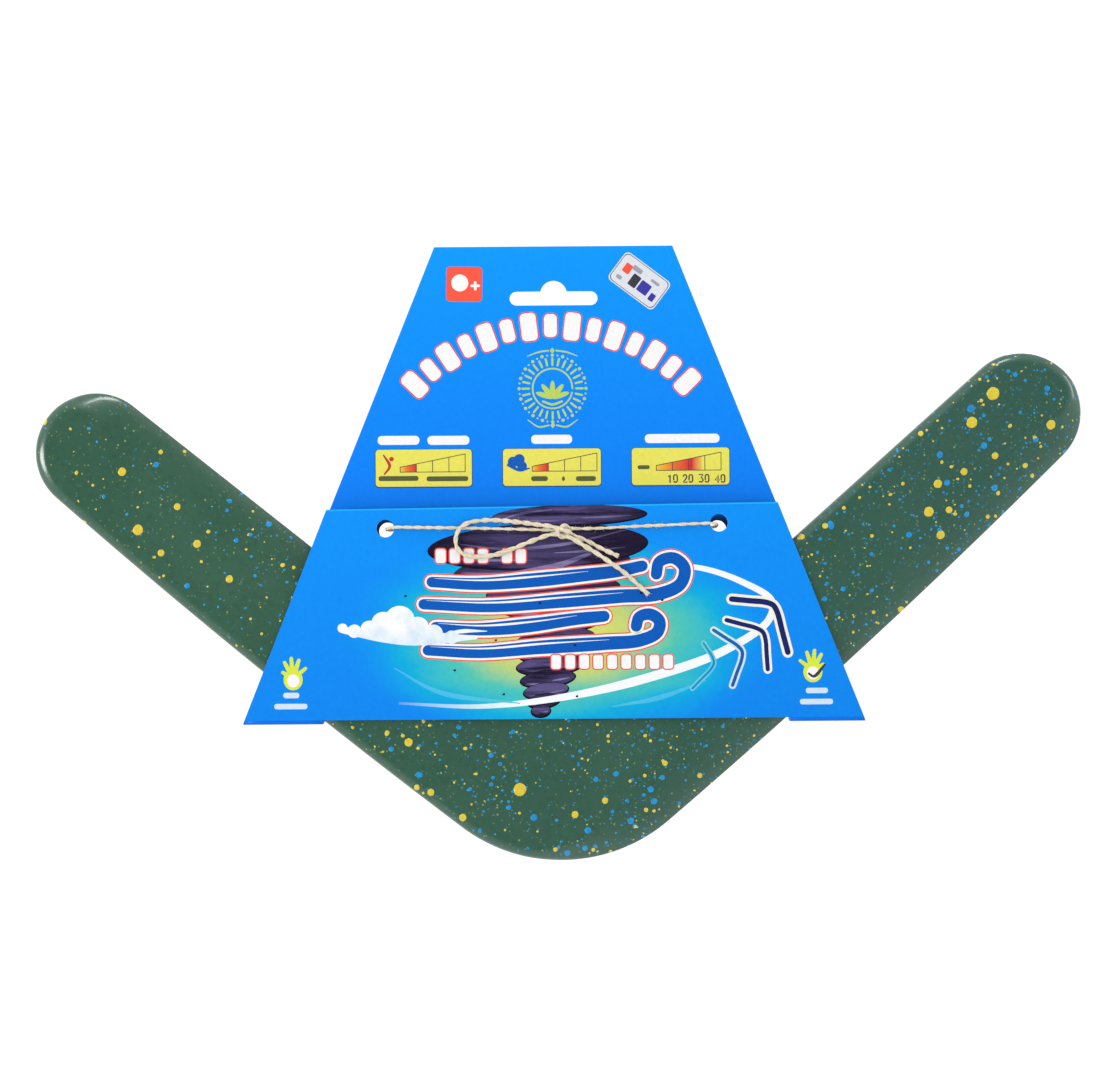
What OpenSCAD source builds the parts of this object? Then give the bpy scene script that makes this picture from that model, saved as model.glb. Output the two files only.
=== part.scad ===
// A right-handed plywood boomerang, held in its folded hanging card by a twine bow.
// It hangs upright: +X is to the right, +Z is up, and the printed side faces -Y.
// The origin is the middle of the card's peg slot, halfway through the card.
// Everything is in millimetres.

/* [Boomerang outline] */
// Distance between the centres of the two round tips
tip_spread = 336.8; // [325:0.2:345]
// Radius of each round tip, half the width of an arm's end
tip_r = 21.7; // [20:0.1:22.5]
// Radius of the outer edge round the elbow
elbow_r = 60; // [54:0.5:66]
// Depth of the elbow's outermost point below the tip centres
elbow_drop = 155.4; // [150:0.2:160]
// How far the elbow's curve sits to the left of the middle
elbow_shift = 3.2; // [0:0.1:4]
// Radius of each arm's slightly bowed outer edge
edge_bow_r = 2580; // [2000:20:4000]
// Angle by which each arm narrows from elbow to tip, in degrees
arm_taper = 0.8; // [0.4:0.1:1.4]
// Radius of the inner corner between the arms
crotch_r = 90; // [60:1:110]

/* [Plywood and edges] */
// Number of plies
ply_count = 5; // [5:2:5]
// Thickness of each ply
ply_t = 1.2; // [1:0.05:1.3]
// Width of the blunt, rounded leading edge
blunt_w = 4.5; // [3:0.25:6]
// Width of the long bevel on the trailing edge
bevel_w = 14; // [9:0.5:16]
// Thickness left at the foot of the trailing bevel
bevel_foot = 1.8; // [1.2:0.1:2.4]
// Rounding of the flat side's rim
rear_round = 0.6; // [0.4:0.05:0.8]

/* [Boomerang in the card] */
// How far the middle of the boomerang is to the right of the slot
boom_x = 1.5; // [0:0.1:2]
// Height of the tip centres, below the slot
boom_z = -49; // [-49.5:0.1:-46]
// Turn of the boomerang in its pocket, in degrees, seen from the front
boom_turn = 2.1; // [1:0.1:2.4]
// Gap between the boomerang and the card on each side
pocket_gap = 0.35; // [0.3:0.05:0.6]

/* [Card] */
// Thickness of the card
card_t = 0.5; // [0.4:0.05:0.6]
// Width of the header's top edge
header_w = 86.8; // [80:0.2:90]
// Height of the top edge above the slot
header_top = 19; // [16:0.5:22]
// Width along the fold at the bottom
fold_w = 225.2; // [215:0.2:226]
// Sideways shift of the fold from the slot
fold_shift = -0.8; // [-1.5:0.1:0]
// Depth of the fold below the slot
fold_drop = 153.7; // [152:0.1:153.8]
// Height of the front flap
flap_h = 78.1; // [76:0.1:80]
// Width of the flap's top edge
flap_top_w = 163.4; // [160:0.2:166]
// Sideways shift of the flap's top edge from the back panel
flap_shift = -1.1; // [-2:0.1:0]
// Turn of the flap's top edge, in degrees
flap_turn = 0.6; // [0:0.1:1]
// Length of the slit in the fold that the elbow comes through
slit_l = 169; // [167:0.5:172]
// How far the slit's edges are cut back from the fold
slit_cut = 1; // [0.5:0.1:2]

/* [Holes in the card] */
// Length of the peg slot
slot_l = 32; // [30:0.5:34]
// Height of the slot's straight part
slot_h = 5; // [4.6:0.1:6]
// Diameter of the bump in the middle of the slot
slot_bump_d = 9.7; // [8:0.1:11]
// Height of the bump's top above the slot's middle
slot_bump_top = 6.4; // [5:0.1:7]
// Diameter of the holes for the twine
hole_d = 6.35; // [6.2:0.05:7]
// Distance between the two twine holes in the back panel
hole_spacing = 120; // [119:0.2:121]
// Depth of the back panel's twine holes below the slot
hole_drop = 84.4; // [84:0.1:84.8]

/* [Twine] */
// Diameter of the twine
twine_d = 1.4; // [1:0.05:1.4]
// Width of the knot
knot_w = 6; // [5:0.1:7]
// Height of the knot from the card
knot_h = 3.2; // [2.8:0.1:4]

/* [Hidden] */

board_t = ply_count * ply_t;
half_spread = tip_spread / 2;
elbow_centre = [-elbow_shift, elbow_r - elbow_drop];

// Faces of the layers, from the back of the card to the front of the flap
back_rear_y = card_t / 2;
board_rear_y = -card_t / 2 - pocket_gap;
flap_rear_y = board_rear_y - board_t - pocket_gap;
flap_front_y = flap_rear_y - card_t;
fold_z = -fold_drop;

green = [0.22, 0.39, 0.31];
bare_veneer = [0.80, 0.66, 0.46];
print_blue = [0.0, 0.53, 1.0];
hemp = [0.84, 0.76, 0.60];

// ---- Outline of the boomerang ----

function dir(a) = [cos(a), sin(a)];

// Middle of the large circle that touches a tip circle and the elbow circle from outside.
function bow_centre(tip, elbow) =
    let (
        along = elbow - tip,
        far = norm(along),
        to_tip = edge_bow_r - tip_r,
        to_elbow = edge_bow_r - elbow_r,
        x = (far * far + to_tip * to_tip - to_elbow * to_elbow) / (2 * far),
        h = sqrt(to_tip * to_tip - x * x)
    ) tip + (x * along + h * [-along[1], along[0]]) / far;

// The two arms, each worked out as a left arm. The right one is then mirrored.
left_tip = [-half_spread, 0];
bow_l = bow_centre(left_tip, elbow_centre);
bow_r = bow_centre(left_tip, [-elbow_centre[0], elbow_centre[1]]);
function slope(from, to) = atan2(to[0] - from[0], to[1] - from[1]);
tip_slope_l = slope(left_tip, bow_l);
tip_slope_r = slope(left_tip, bow_r);
elbow_slope_l = slope(elbow_centre, bow_l);
elbow_slope_r = slope([-elbow_centre[0], elbow_centre[1]], bow_r);
inner_l = 90 - (tip_slope_l + elbow_slope_l) / 2 + arm_taper;
inner_r = 90 + (tip_slope_r + elbow_slope_r) / 2 - arm_taper;

// Middle of the inner corner's circle, crotch_r away from both inner edges.
reach_l = left_tip * dir(inner_l) + tip_r + crotch_r;
reach_r = -left_tip * dir(inner_r) + tip_r + crotch_r;
crossing = sin(inner_r - inner_l);
crotch_centre = [
    (reach_l * sin(inner_r) - reach_r * sin(inner_l)) / crossing,
    (reach_r * cos(inner_l) - reach_l * cos(inner_r)) / crossing
];

function smooth_step(t) = let (s = min(1, max(0, t))) s * s * (3 - 2 * s);

// A stretch of the outline as [point, outward direction, share of trailing bevel], without
// its last point, which is the next stretch's first. A negative radius is a hollow. The share
// goes from share_a to share_b between the fractions fade_a and fade_b of the arc.
function arc(centre, r, a, b, steps, share_a, share_b, fade_a = 0, fade_b = 1) = [
    for (i = [0 : steps - 1])
        let (t = i / steps, n = dir(a + (b - a) * t))
            [centre + r * n, n,
             share_a + (share_b - share_a) * smooth_step((t - fade_a) / (fade_b - fade_a))]
];
function straight(p, q, a, steps, share) =
    [for (i = [0 : steps - 1]) [p + (q - p) * i / steps, dir(a), share]];

// The outline in two chains, both from the left tip's end to the right tip's end. The outer
// one goes round the elbow and the inner one through the crotch, with the same number of steps.
tip_steps = 9;
edge_steps = 4;
elbow_steps = 16;
end_l = (inner_l + 270 - tip_slope_l) / 2;
end_r = (inner_r + tip_slope_r - 90) / 2;
last_point = [[-left_tip + tip_r * dir(end_r), dir(end_r), 0]];
outer_chain = concat(
    arc(left_tip, tip_r, end_l, 270 - tip_slope_l, tip_steps, 0, 0),
    arc(bow_l, edge_bow_r, 270 - tip_slope_l, 270 - elbow_slope_l, edge_steps, 0, 0),
    arc(elbow_centre, elbow_r, 270 - elbow_slope_l, 270 + elbow_slope_r, elbow_steps,
        0, 1, 0.3, 0.9),
    arc([-bow_r[0], bow_r[1]], edge_bow_r, 270 + elbow_slope_r, 270 + tip_slope_r, edge_steps,
        1, 1),
    arc(-left_tip, tip_r, tip_slope_r - 90, end_r, tip_steps, 1, 0, 0, 0.9),
    last_point
);
inner_chain = concat(
    arc(left_tip, tip_r, end_l, inner_l, tip_steps, 0, 1, 0.1, 1),
    straight(left_tip + tip_r * dir(inner_l), crotch_centre - crotch_r * dir(inner_l),
        inner_l, edge_steps, 1),
    arc(crotch_centre, -crotch_r, inner_l, inner_r, elbow_steps, 1, 0, 0.1, 0.9),
    straight(crotch_centre - crotch_r * dir(inner_r), -left_tip + tip_r * dir(inner_r),
        inner_r, edge_steps, 0),
    arc(-left_tip, tip_r, inner_r, end_r, tip_steps, 0, 0),
    last_point
);
chain_l = len(outer_chain) - 1;
ring_l = 2 * chain_l;
// Both chains as one ring, counter-clockwise seen from the front. mate() is the point across.
edge = concat(outer_chain, [for (i = [chain_l - 1 : -1 : 1]) inner_chain[i]]);
function mate(i) = (ring_l - i) % ring_l;

// ---- Edge profile: how far in the surface is at a height above the flat side ----

blunt_foot = board_t / 3;
function rear_in(h) =
    h >= rear_round ? 0 : rear_round - sqrt(pow(rear_round, 2) - pow(rear_round - h, 2));
function blunt_in(h) =
    h <= blunt_foot ? 0
    : blunt_w * (1 - sqrt(max(0, 1 - pow((h - blunt_foot) / (board_t - blunt_foot), 2))));
function bevel_in(h) =
    h <= bevel_foot ? 0 : bevel_w * pow((h - bevel_foot) / (board_t - bevel_foot), 1.25);
function inset(h, share) = rear_in(h) + (1 - share) * blunt_in(h) + share * bevel_in(h);
function level(h) = [
    for (e = edge) let (p = e[0] - inset(h, e[2]) * e[1]) [p[0], -h, p[1]]
];

// One ply: the outline's levels between two heights, joined into a closed solid.
module ply(number, levels) {
    heights = [for (f = levels) (number - 1 + f) * ply_t];
    last = len(heights) - 1;
    points = [for (h = heights) each level(h)];
    sides = [
        for (k = [0 : last - 1], i = [0 : ring_l - 1])
            let (a = k * ring_l + i, b = k * ring_l + (i + 1) % ring_l)
                each [[a, a + ring_l, b + ring_l], [a, b + ring_l, b]]
    ];
    // Each face is filled in strips from the outer chain to the inner one.
    strips = [
        for (i = [0 : chain_l - 1])
            each [
                if (i < chain_l - 1) [i, i + 1, mate(i + 1)],
                if (i > 0) [i, mate(i + 1), mate(i)]
            ]
    ];
    front = [for (f = strips) [for (i = [2, 1, 0]) f[i] + last * ring_l]];
    translate([boom_x, board_rear_y, boom_z])
        rotate([0, -boom_turn, 0])
            polyhedron(points, concat(strips, front, sides));
}

module ply_1_back_veneer() color(green) ply(1, [0, 0.2, 0.5, 1]);
module ply_2_cross() color(bare_veneer) ply(2, [0, 0.5, 1]);
module ply_3_core() color(green) ply(3, [0, 0.5, 1]);
module ply_4_cross() color(bare_veneer) ply(4, [0, 0.5, 1]);
module ply_5_face_veneer() color(green) ply(5, [0, 0.45, 0.8, 1]);

// ---- Card ----

// Stands a drawing up in the XZ plane and gives it the card's thickness.
module panel(rear_y)
    translate([0, rear_y, 0]) rotate([90, 0, 0]) linear_extrude(card_t) children();

module twine_hole(x, z) translate([x, z]) circle(d = hole_d, $fn = 48);

// Peg slot: a long slot with round ends and a bump in the middle of its upper edge.
module peg_slot() {
    straight = slot_l - slot_h;
    square([straight, slot_h], center = true);
    for (side = [-1, 1])
        translate([side * straight / 2, 0]) circle(d = slot_h, $fn = 32);
    translate([0, slot_bump_top - slot_bump_d / 2]) circle(d = slot_bump_d, $fn = 48);
}

function fold_end(side) = fold_shift + side * fold_w / 2;

// The bottom edge of a panel, from left to right, with its middle cut back from the fold.
bottom_edge = [
    [fold_end(-1), fold_z], [-slit_l / 2, fold_z], [-slit_l / 2, fold_z + slit_cut],
    [slit_l / 2, fold_z + slit_cut], [slit_l / 2, fold_z], [fold_end(1), fold_z]
];

// Where a point of the flap's top goes, because the card is not folded quite square.
function skewed(x, z) = [x + flap_shift, z + x * sin(flap_turn)];
flap_top = fold_z + flap_h;
hole_back_x = hole_spacing / 2;
hole_shift_x = -0.9;

module card_back_panel() color(print_blue)
    panel(back_rear_y) difference() {
        polygon(concat(bottom_edge, [[header_w / 2, header_top], [-header_w / 2, header_top]]));
        peg_slot();
        for (side = [-1, 1]) twine_hole(side * hole_back_x + hole_shift_x, -hole_drop);
    }

module card_front_flap() color(print_blue)
    panel(flap_rear_y) difference() {
        polygon(concat(
            bottom_edge,
            [skewed(flap_top_w / 2, flap_top), skewed(-flap_top_w / 2, flap_top)]
        ));
        for (side = [-1, 1]) {
            hole = skewed(side * (hole_back_x + 0.4), -hole_drop + 1.6);
            twine_hole(hole[0], hole[1]);
        }
    }

// The strip of card left beside the slit, which joins the two panels under the arm.
module fold_strip(side) color(print_blue)
    translate([side > 0 ? slit_l / 2 : fold_end(side), flap_front_y, fold_z - card_t])
        cube([abs(fold_end(side)) - slit_l / 2, back_rear_y - flap_front_y, card_t]);
module card_fold_left() fold_strip(-1);
module card_fold_right() fold_strip(1);

// ---- Twine ----

function unit(v) = v / norm(v);
function mirrored_end(p, q) = 2 * p - q;
// A point halfway between b and c on a smooth curve through a, b, c and d.
function halfway(a, b, c, d) = (9 * (b + c) - a - d) / 16;
function smooth(route) =
    let (last = len(route) - 1)
    concat(
        [for (i = [0 : last - 1])
            let (
                before = i == 0 ? mirrored_end(route[0], route[1]) : route[i - 1],
                after = i == last - 1 ? mirrored_end(route[last], route[last - 1]) : route[i + 2]
            ) each [route[i], halfway(before, route[i], route[i + 1], after)]],
        [route[last]]
    );

// A round cord along a route. across is a direction that the route never runs along.
module cord(route, across) {
    sides = 8;
    last = len(route) - 1;
    points = [
        for (i = [0 : last])
            let (
                t = unit(route[min(i + 1, last)] - route[max(i - 1, 0)]),
                u = unit(cross(t, across)),
                v = cross(t, u)
            )
            for (s = [0 : sides - 1])
                route[i] + twine_d / 2 * (cos(s * 360 / sides) * u + sin(s * 360 / sides) * v)
    ];
    walls = [
        for (i = [0 : last - 1], s = [0 : sides - 1])
            let (a = i * sides + s, b = i * sides + (s + 1) % sides)
                each [[a, a + sides, b + sides], [a, b + sides, b]]
    ];
    start = [for (s = [0 : sides - 1]) s];
    end = [for (s = [sides - 1 : -1 : 0]) last * sides + s];
    color(hemp) polyhedron(points, concat([start, end], walls));
}

// Routes down the middle of the twine. The band goes from the knot to the right hole,
// through it, behind the back panel, and through the left hole to the knot again.
band_route = [
    [4.8, -8.9, -84.1], [14, -8.3, -83.9], [28, -8.3, -83.3], [42, -8.3, -82.8],
    [52, -8.3, -82.4], [55.8, -8.3, -82.3], [57.8, -7.5, -82.4], [58.6, -5.5, -82.7],
    [58.6, -1.7, -83.3], [57.8, 0.3, -83.6], [55.8, 1.1, -83.7], [48, 1.1, -83.8],
    [36, 1.1, -83.9], [24, 1.1, -84], [12, 1.1, -84], [0, 1.1, -84], [-12, 1.1, -84],
    [-24, 1.1, -84], [-36, 1.1, -84], [-48, 1.1, -84], [-58.2, 1.1, -84],
    [-60.2, 0.3, -84], [-61, -1.7, -83.9], [-61, -5.5, -83.5], [-60.2, -7.5, -83.2],
    [-58.2, -8.3, -83], [-50, -8.3, -83.1], [-40, -8.3, -83.3], [-30, -8.3, -83.5],
    [-20, -8.3, -83.8], [-9, -8.3, -84.1], [1.2, -8.5, -84.7]
];
loop_route = [
    [1.8, -9.8, -83.2], [-5.5, -9.5, -82.5], [-13, -8.9, -81.5], [-21, -8.4, -80.7],
    [-27, -8.5, -80.8], [-31.5, -9.1, -81.6], [-34.6, -9.8, -83.8], [-36, -9, -87.5],
    [-35.3, -8.5, -91], [-32.3, -8.4, -93.3], [-27, -8.4, -93.9], [-21, -8.4, -93],
    [-15, -8.5, -90.9], [-9, -8.8, -88.5], [-3.5, -9.3, -86.8], [1.4, -9.9, -86.2]
];
tail_short_route = [
    [4.9, -8.7, -85.7], [10.8, -8.6, -88.1], [16.3, -8.4, -91], [22.8, -8.3, -94]
];
tail_long_route = [
    [4, -10.4, -86], [10.2, -10, -90], [16, -9.1, -93.6], [25.2, -8.4, -100.2],
    [33.6, -8.3, -108]
];
knot_middle = [2.9, flap_front_y - 0.05 - knot_h / 2, -84.7];
knot_round = 1.3;

module twine_band() cord(band_route, [0, 0, 1]);
module twine_bow_loop() cord(smooth(loop_route), [0, 1, 0]);
module twine_tail_short() cord(smooth(tail_short_route), [0, 1, 0]);
module twine_tail_long() cord(smooth(tail_long_route), [0, 1, 0]);

// The knot is a round, soft-edged button that the ends of the twine go into.
module twine_knot() color(hemp)
    translate(knot_middle) rotate([90, 0, 0]) rotate_extrude($fn = 32) {
        translate([0, -knot_h / 2]) square([knot_w / 2 - knot_round, knot_h]);
        translate([0, knot_round - knot_h / 2]) square([knot_w / 2, knot_h - 2 * knot_round]);
        for (side = [-1, 1])
            translate([knot_w / 2 - knot_round, side * (knot_h / 2 - knot_round)])
                circle(knot_round, $fn = 24);
    }

ply_1_back_veneer();
ply_2_cross();
ply_3_core();
ply_4_cross();
ply_5_face_veneer();
card_back_panel();
card_fold_left();
card_fold_right();
card_front_flap();
twine_band();
twine_knot();
twine_bow_loop();
twine_tail_short();
twine_tail_long();
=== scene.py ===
import math

import bpy
import numpy as np
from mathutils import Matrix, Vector
from mathutils.geometry import delaunay_2d_cdt


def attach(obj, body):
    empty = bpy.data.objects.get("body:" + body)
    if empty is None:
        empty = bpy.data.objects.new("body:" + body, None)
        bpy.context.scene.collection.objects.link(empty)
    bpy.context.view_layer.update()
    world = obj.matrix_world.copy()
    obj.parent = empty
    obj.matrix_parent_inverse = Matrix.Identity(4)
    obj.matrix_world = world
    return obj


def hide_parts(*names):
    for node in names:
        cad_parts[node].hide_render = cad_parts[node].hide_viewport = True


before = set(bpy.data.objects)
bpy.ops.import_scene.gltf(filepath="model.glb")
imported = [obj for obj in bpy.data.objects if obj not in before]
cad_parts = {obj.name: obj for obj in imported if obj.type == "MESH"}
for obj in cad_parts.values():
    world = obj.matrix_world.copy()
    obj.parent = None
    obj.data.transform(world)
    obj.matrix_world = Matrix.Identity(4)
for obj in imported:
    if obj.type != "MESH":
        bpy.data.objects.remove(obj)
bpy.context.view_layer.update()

# Everything is worked out in millimetres, in the CAD frame, and made in metres.
MM = 0.001


# ---------------------------------------------------------------- helpers

def smooth_step(t):
    s = np.clip(t, 0, 1)
    return s * s * (3 - 2 * s)


def unit(v):
    v = np.asarray(v, float)
    return v / np.linalg.norm(v, axis=-1, keepdims=True)


def direction(degrees):
    a = np.radians(degrees)
    return np.stack([np.cos(a), np.sin(a)], axis=-1)


def srgb(red, green, blue, strength=1.0):
    """A colour given as 0 to 255 on the screen, as a linear colour for a shader."""
    c = np.array([red, green, blue]) / 255
    linear = np.where(c <= 0.04045, c / 12.92, ((c + 0.055) / 1.055) ** 2.4)
    return (*(linear * strength), 1.0)


LIGHT = 1.36     # how much brighter than its paint a surface that faces the camera shows


def lit(red, green, blue):
    """A paint or ink that shows as this colour, 0 to 255, under the studio's light."""
    return srgb(red, green, blue, 1 / LIGHT)


def add_object(name, data):
    obj = bpy.data.objects.new(name, data)
    bpy.context.scene.collection.objects.link(obj)
    return obj


def make_mesh(name, verts_mm, faces, materials, face_slots=None, smooth=True):
    """A mesh object from points in millimetres."""
    mesh = bpy.data.meshes.new(name)
    mesh.from_pydata((np.asarray(verts_mm) * MM).tolist(), [], [list(map(int, f)) for f in faces])
    for material in materials:
        mesh.materials.append(material)
    if face_slots is not None:
        mesh.polygons.foreach_set("material_index", np.asarray(face_slots, np.int32))
    mesh.polygons.foreach_set("use_smooth", np.full(len(mesh.polygons), smooth))
    return add_object(name, mesh)


def ring_faces(rings, count):
    """Quads between rings of count points each."""
    return [(k * count + i, k * count + (i + 1) % count,
             (k + 1) * count + (i + 1) % count, (k + 1) * count + i)
            for k in range(rings - 1) for i in range(count)]


# ---------------------------------------------------------------- material kit

class Shader:
    """Builds one material's nodes with short calls."""

    def __init__(self, name):
        self.material = bpy.data.materials.new(name)
        self.material.use_nodes = True
        self.tree = self.material.node_tree
        self.surface = self.tree.nodes["Principled BSDF"]

    def node(self, kind, settings=(), **inputs):
        made = self.tree.nodes.new("ShaderNode" + kind)
        for key, value in dict(settings).items():
            setattr(made, key, value)
        for key, value in inputs.items():
            self.put(made, key.replace("_", " "), value)
        return made

    def put(self, node, socket, value):
        key = int(socket[1:]) if socket[0] == "i" and socket[1:].isdigit() else socket
        if isinstance(value, bpy.types.NodeSocket):
            self.tree.links.new(value, node.inputs[key])
        else:
            node.inputs[key].default_value = value

    def place(self):
        return self.node("TexCoord").outputs["Object"]

    def noise(self, scale, detail=3.0, roughness=0.5, vector=None):
        made = self.node("TexNoise", Scale=scale, Detail=detail, Roughness=roughness)
        self.put(made, "Vector", vector or self.place())
        return made.outputs["Fac"]

    def ramp(self, value, stops, ease="LINEAR"):
        made = self.node("ValToRGB", Fac=value)
        made.color_ramp.interpolation = ease
        elements = made.color_ramp.elements
        while len(elements) < len(stops):
            elements.new(0.5)
        for element, (at, colour) in zip(elements, stops):
            element.position, element.color = at, colour
        return made.outputs["Color"]

    def range(self, value, low, high, to_low=0.0, to_high=1.0):
        made = self.node("MapRange")
        for socket, v in zip(range(5), (value, low, high, to_low, to_high)):
            self.put(made, f"i{socket}", v)
        return made.outputs["Result"]

    def mix(self, share, a, b, blend="MIX"):
        made = self.node("MixRGB", {"blend_type": blend}, Fac=share, Color1=a, Color2=b)
        return made.outputs["Color"]

    def maths(self, operation, a, b=0.0):
        made = self.node("Math", {"operation": operation}, i0=a, i1=b)
        return made.outputs["Value"]

    def axis(self, vector, name):
        return self.node("SeparateXYZ", Vector=vector).outputs[name]

    def scaled(self, scale, vector=None):
        made = self.node("Mapping", Scale=scale)
        self.put(made, "Vector", vector or self.place())
        return made.outputs["Vector"]

    def bump(self, height, strength, distance):
        made = self.node("Bump", Strength=strength, Distance=distance, Height=height)
        self.put(self.surface, "Normal", made.outputs["Normal"])

    def finish(self, colour, roughness, **more):
        self.put(self.surface, "Base Color", colour)
        self.put(self.surface, "Roughness", roughness)
        for key, value in more.items():
            self.put(self.surface, key.replace("_", " "), value)
        return self.material


# ---------------------------------------------------------------- camera, stage and light

VIEW_W = 401.1          # what the picture takes in from side to side at the object, in mm
AIM = (-1.0, -4.0, -89.8)   # the middle of the picture, in mm
ROLL = math.radians(0.4)    # the photograph's card leans this much to the left
LENS, SENSOR = 100.0, 36.0
BOWL_GLOW = 0.74            # the pale bowl gives most of the soft light itself


def make_camera():
    """A long lens straight in front of the object, so far off that VIEW_W fills the frame."""
    data = bpy.data.cameras.new("camera")
    data.lens, data.sensor_width = LENS, SENSOR
    data.clip_start, data.clip_end = 0.05, 40
    cam = add_object("camera", data)
    away = VIEW_W / SENSOR * LENS
    cam.location = (AIM[0] * MM, (AIM[1] - away) * MM, AIM[2] * MM)
    cam.rotation_mode = "XYZ"
    cam.rotation_euler = (math.radians(90), ROLL, 0)
    bpy.context.scene.camera = cam


def make_stage():
    """A large pale bowl: a flat floor that rises in one curve to a closed dome."""
    floor_z, flat_r, cove_r = -1.45, 1.4, 1.6      # low enough for a camera under the object
    rim_r, rim_z = flat_r + cove_r, floor_z + cove_r
    profile = [(0.001, floor_z), (flat_r, floor_z)]
    profile += [(flat_r + cove_r * math.sin(a), rim_z - cove_r * math.cos(a))
                for a in np.radians(np.arange(10, 91, 10))]
    profile += [(rim_r * math.cos(a), rim_z + rim_r * math.sin(a))
                for a in np.radians(np.arange(10, 90, 10))] + [(0.001, rim_z + rim_r)]
    turns = 48
    verts = [(r * math.cos(t) / MM, r * math.sin(t) / MM, z / MM)
             for r, z in profile for t in np.arange(turns) * 2 * math.pi / turns]
    pale = Shader("studio_pale")
    shade = pale.mix(pale.noise(0.8), (0.29, 0.29, 0.29, 1), (0.31, 0.31, 0.31, 1))
    pale.finish(shade, 0.9, Emission_Color=(1, 1, 1, 1), Emission_Strength=BOWL_GLOW,
                Specular_IOR_Level=0.0)
    bowl = make_mesh("studio_bowl", verts, ring_faces(len(profile), turns), [pale.material])
    bowl.visible_glossy = False     # reflections see the softboxes and the world instead


def make_world():
    """What shines in the paint: bright all round, and dark where a camera stands in front."""
    world = bpy.data.worlds.new("studio")
    bpy.context.scene.world = world
    world.use_nodes = True
    tree = world.node_tree
    place = tree.nodes.new("ShaderNodeTexCoord")
    front = tree.nodes.new("ShaderNodeVectorMath")
    front.operation = "DOT_PRODUCT"
    front.inputs[1].default_value = (0, -1, 0)
    dark = tree.nodes.new("ShaderNodeMapRange")
    for name, value in (("From Min", 0.55), ("From Max", 0.9), ("To Min", 0.85), ("To Max", 0.10)):
        dark.inputs[name].default_value = value
    tree.links.new(place.outputs["Generated"], front.inputs[0])
    tree.links.new(front.outputs["Value"], dark.inputs["Value"])
    tree.links.new(dark.outputs["Result"], tree.nodes["Background"].inputs["Strength"])
    tree.nodes["Background"].inputs["Color"].default_value = (1, 1, 1, 1)


def softbox(name, place, size, watts, lights=True, shines=True):
    """An area light at a place in metres, turned to the middle of the object."""
    data = bpy.data.lights.new(name, "AREA")
    data.shape, data.size, data.size_y, data.energy = "RECTANGLE", size[0], size[1], watts
    light = add_object(name, data)
    light.visible_camera = False
    light.visible_diffuse, light.visible_glossy = lights, shines
    light.location = place
    aim = Vector((AIM[0] * MM, 0, AIM[2] * MM)) - Vector(place)
    light.rotation_mode = "QUATERNION"
    light.rotation_quaternion = aim.to_track_quat("-Z", "Y")


make_camera()
make_stage()
make_world()
softbox("softbox_left", (-1.25, -0.85, -0.12), (0.9, 0.26), 10)
softbox("softbox_left_shine", (-1.25, -0.85, -0.12), (0.5, 0.42), 8, lights=False)
softbox("softbox_high_shine", (-0.02, -0.38, 0.80), (0.24, 0.2), 2, lights=False)
softbox("softbox_top", (0.0, -0.5, 1.25), (1.4, 0.7), 4, shines=False)
softbox("softbox_right", (1.3, -0.3, 0.35), (0.3, 0.8), 4)
softbox("softbox_behind", (0.6, 1.3, 0.7), (0.8, 0.6), 6)
bpy.context.scene.view_settings.view_transform = "Standard"


# ---------------------------------------------------------------- twine

TWINE_D = 1.4
STRANDS, STRAND_SIDES, LAY = 2, 8, 8.0   # how many strands, and mm in which they go round once
BAND_FROM, BAND_TO = 33, 288     # the stretch pulled tight round the card, in mm along the twine
HAIR_LIMIT = 54          # no loose fibres beyond this X, where the boomerang slides past
LINE_STEP = 0.5          # mm from one point of the twine's line to the next

# The twine's line in stretches, from the middle of the knot outwards or round the card.
TAIL_SHORT = [(4.9, -8.9, -86.3), (10.8, -8.6, -88.1), (16.3, -8.4, -91), (22.8, -8.3, -94)]
BAND = [
    (4.8, -8.9, -83.7), (14, -8.3, -83.9), (28, -8.3, -83.3), (42, -8.3, -82.8),
    (52, -8.3, -82.4), (55.8, -8.3, -82.3), (57.8, -7.5, -82.4), (58.6, -5.5, -82.7),
    (58.6, -1.7, -83.3), (57.8, 0.3, -83.6), (55.8, 1.1, -83.7), (48, 1.1, -83.8), (36, 1.1, -83.9),
    *[(x, 1.1, -84) for x in range(24, -49, -12)], (-58.2, 1.1, -84),
    (-60.2, 0.3, -84), (-61, -1.7, -83.9), (-61, -5.5, -83.5), (-60.2, -7.5, -83.2),
    (-58.2, -8.3, -83), (-50, -8.3, -83.1), (-40, -8.3, -83.3), (-30, -8.3, -83.5),
    (-20, -8.3, -83.8), (-9, -8.3, -84.1), (1.2, -8.5, -84.7),
]
LOOP = [
    (-1.4, -10.2, -83.1), (-5.5, -9.5, -82.5), (-13, -8.9, -81.5), (-21, -8.4, -80.7),
    (-27, -8.5, -80.8), (-31.5, -9.1, -81.6), (-34.6, -9.8, -83.8), (-36, -9, -87.5),
    (-35.3, -8.5, -91), (-32.3, -8.4, -93.3), (-27, -8.4, -93.9), (-21, -8.4, -93),
    (-15, -8.5, -90.9), (-9, -8.8, -88.5), (-3.5, -9.3, -86.5), (-1, -9.6, -85.9),
]
TAIL_LONG = [(7.4, -10.4, -88.2), (10.2, -10, -90), (16, -9.1, -93.6), (25.2, -8.4, -100.2),
             (33.6, -8.3, -108)]
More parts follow.
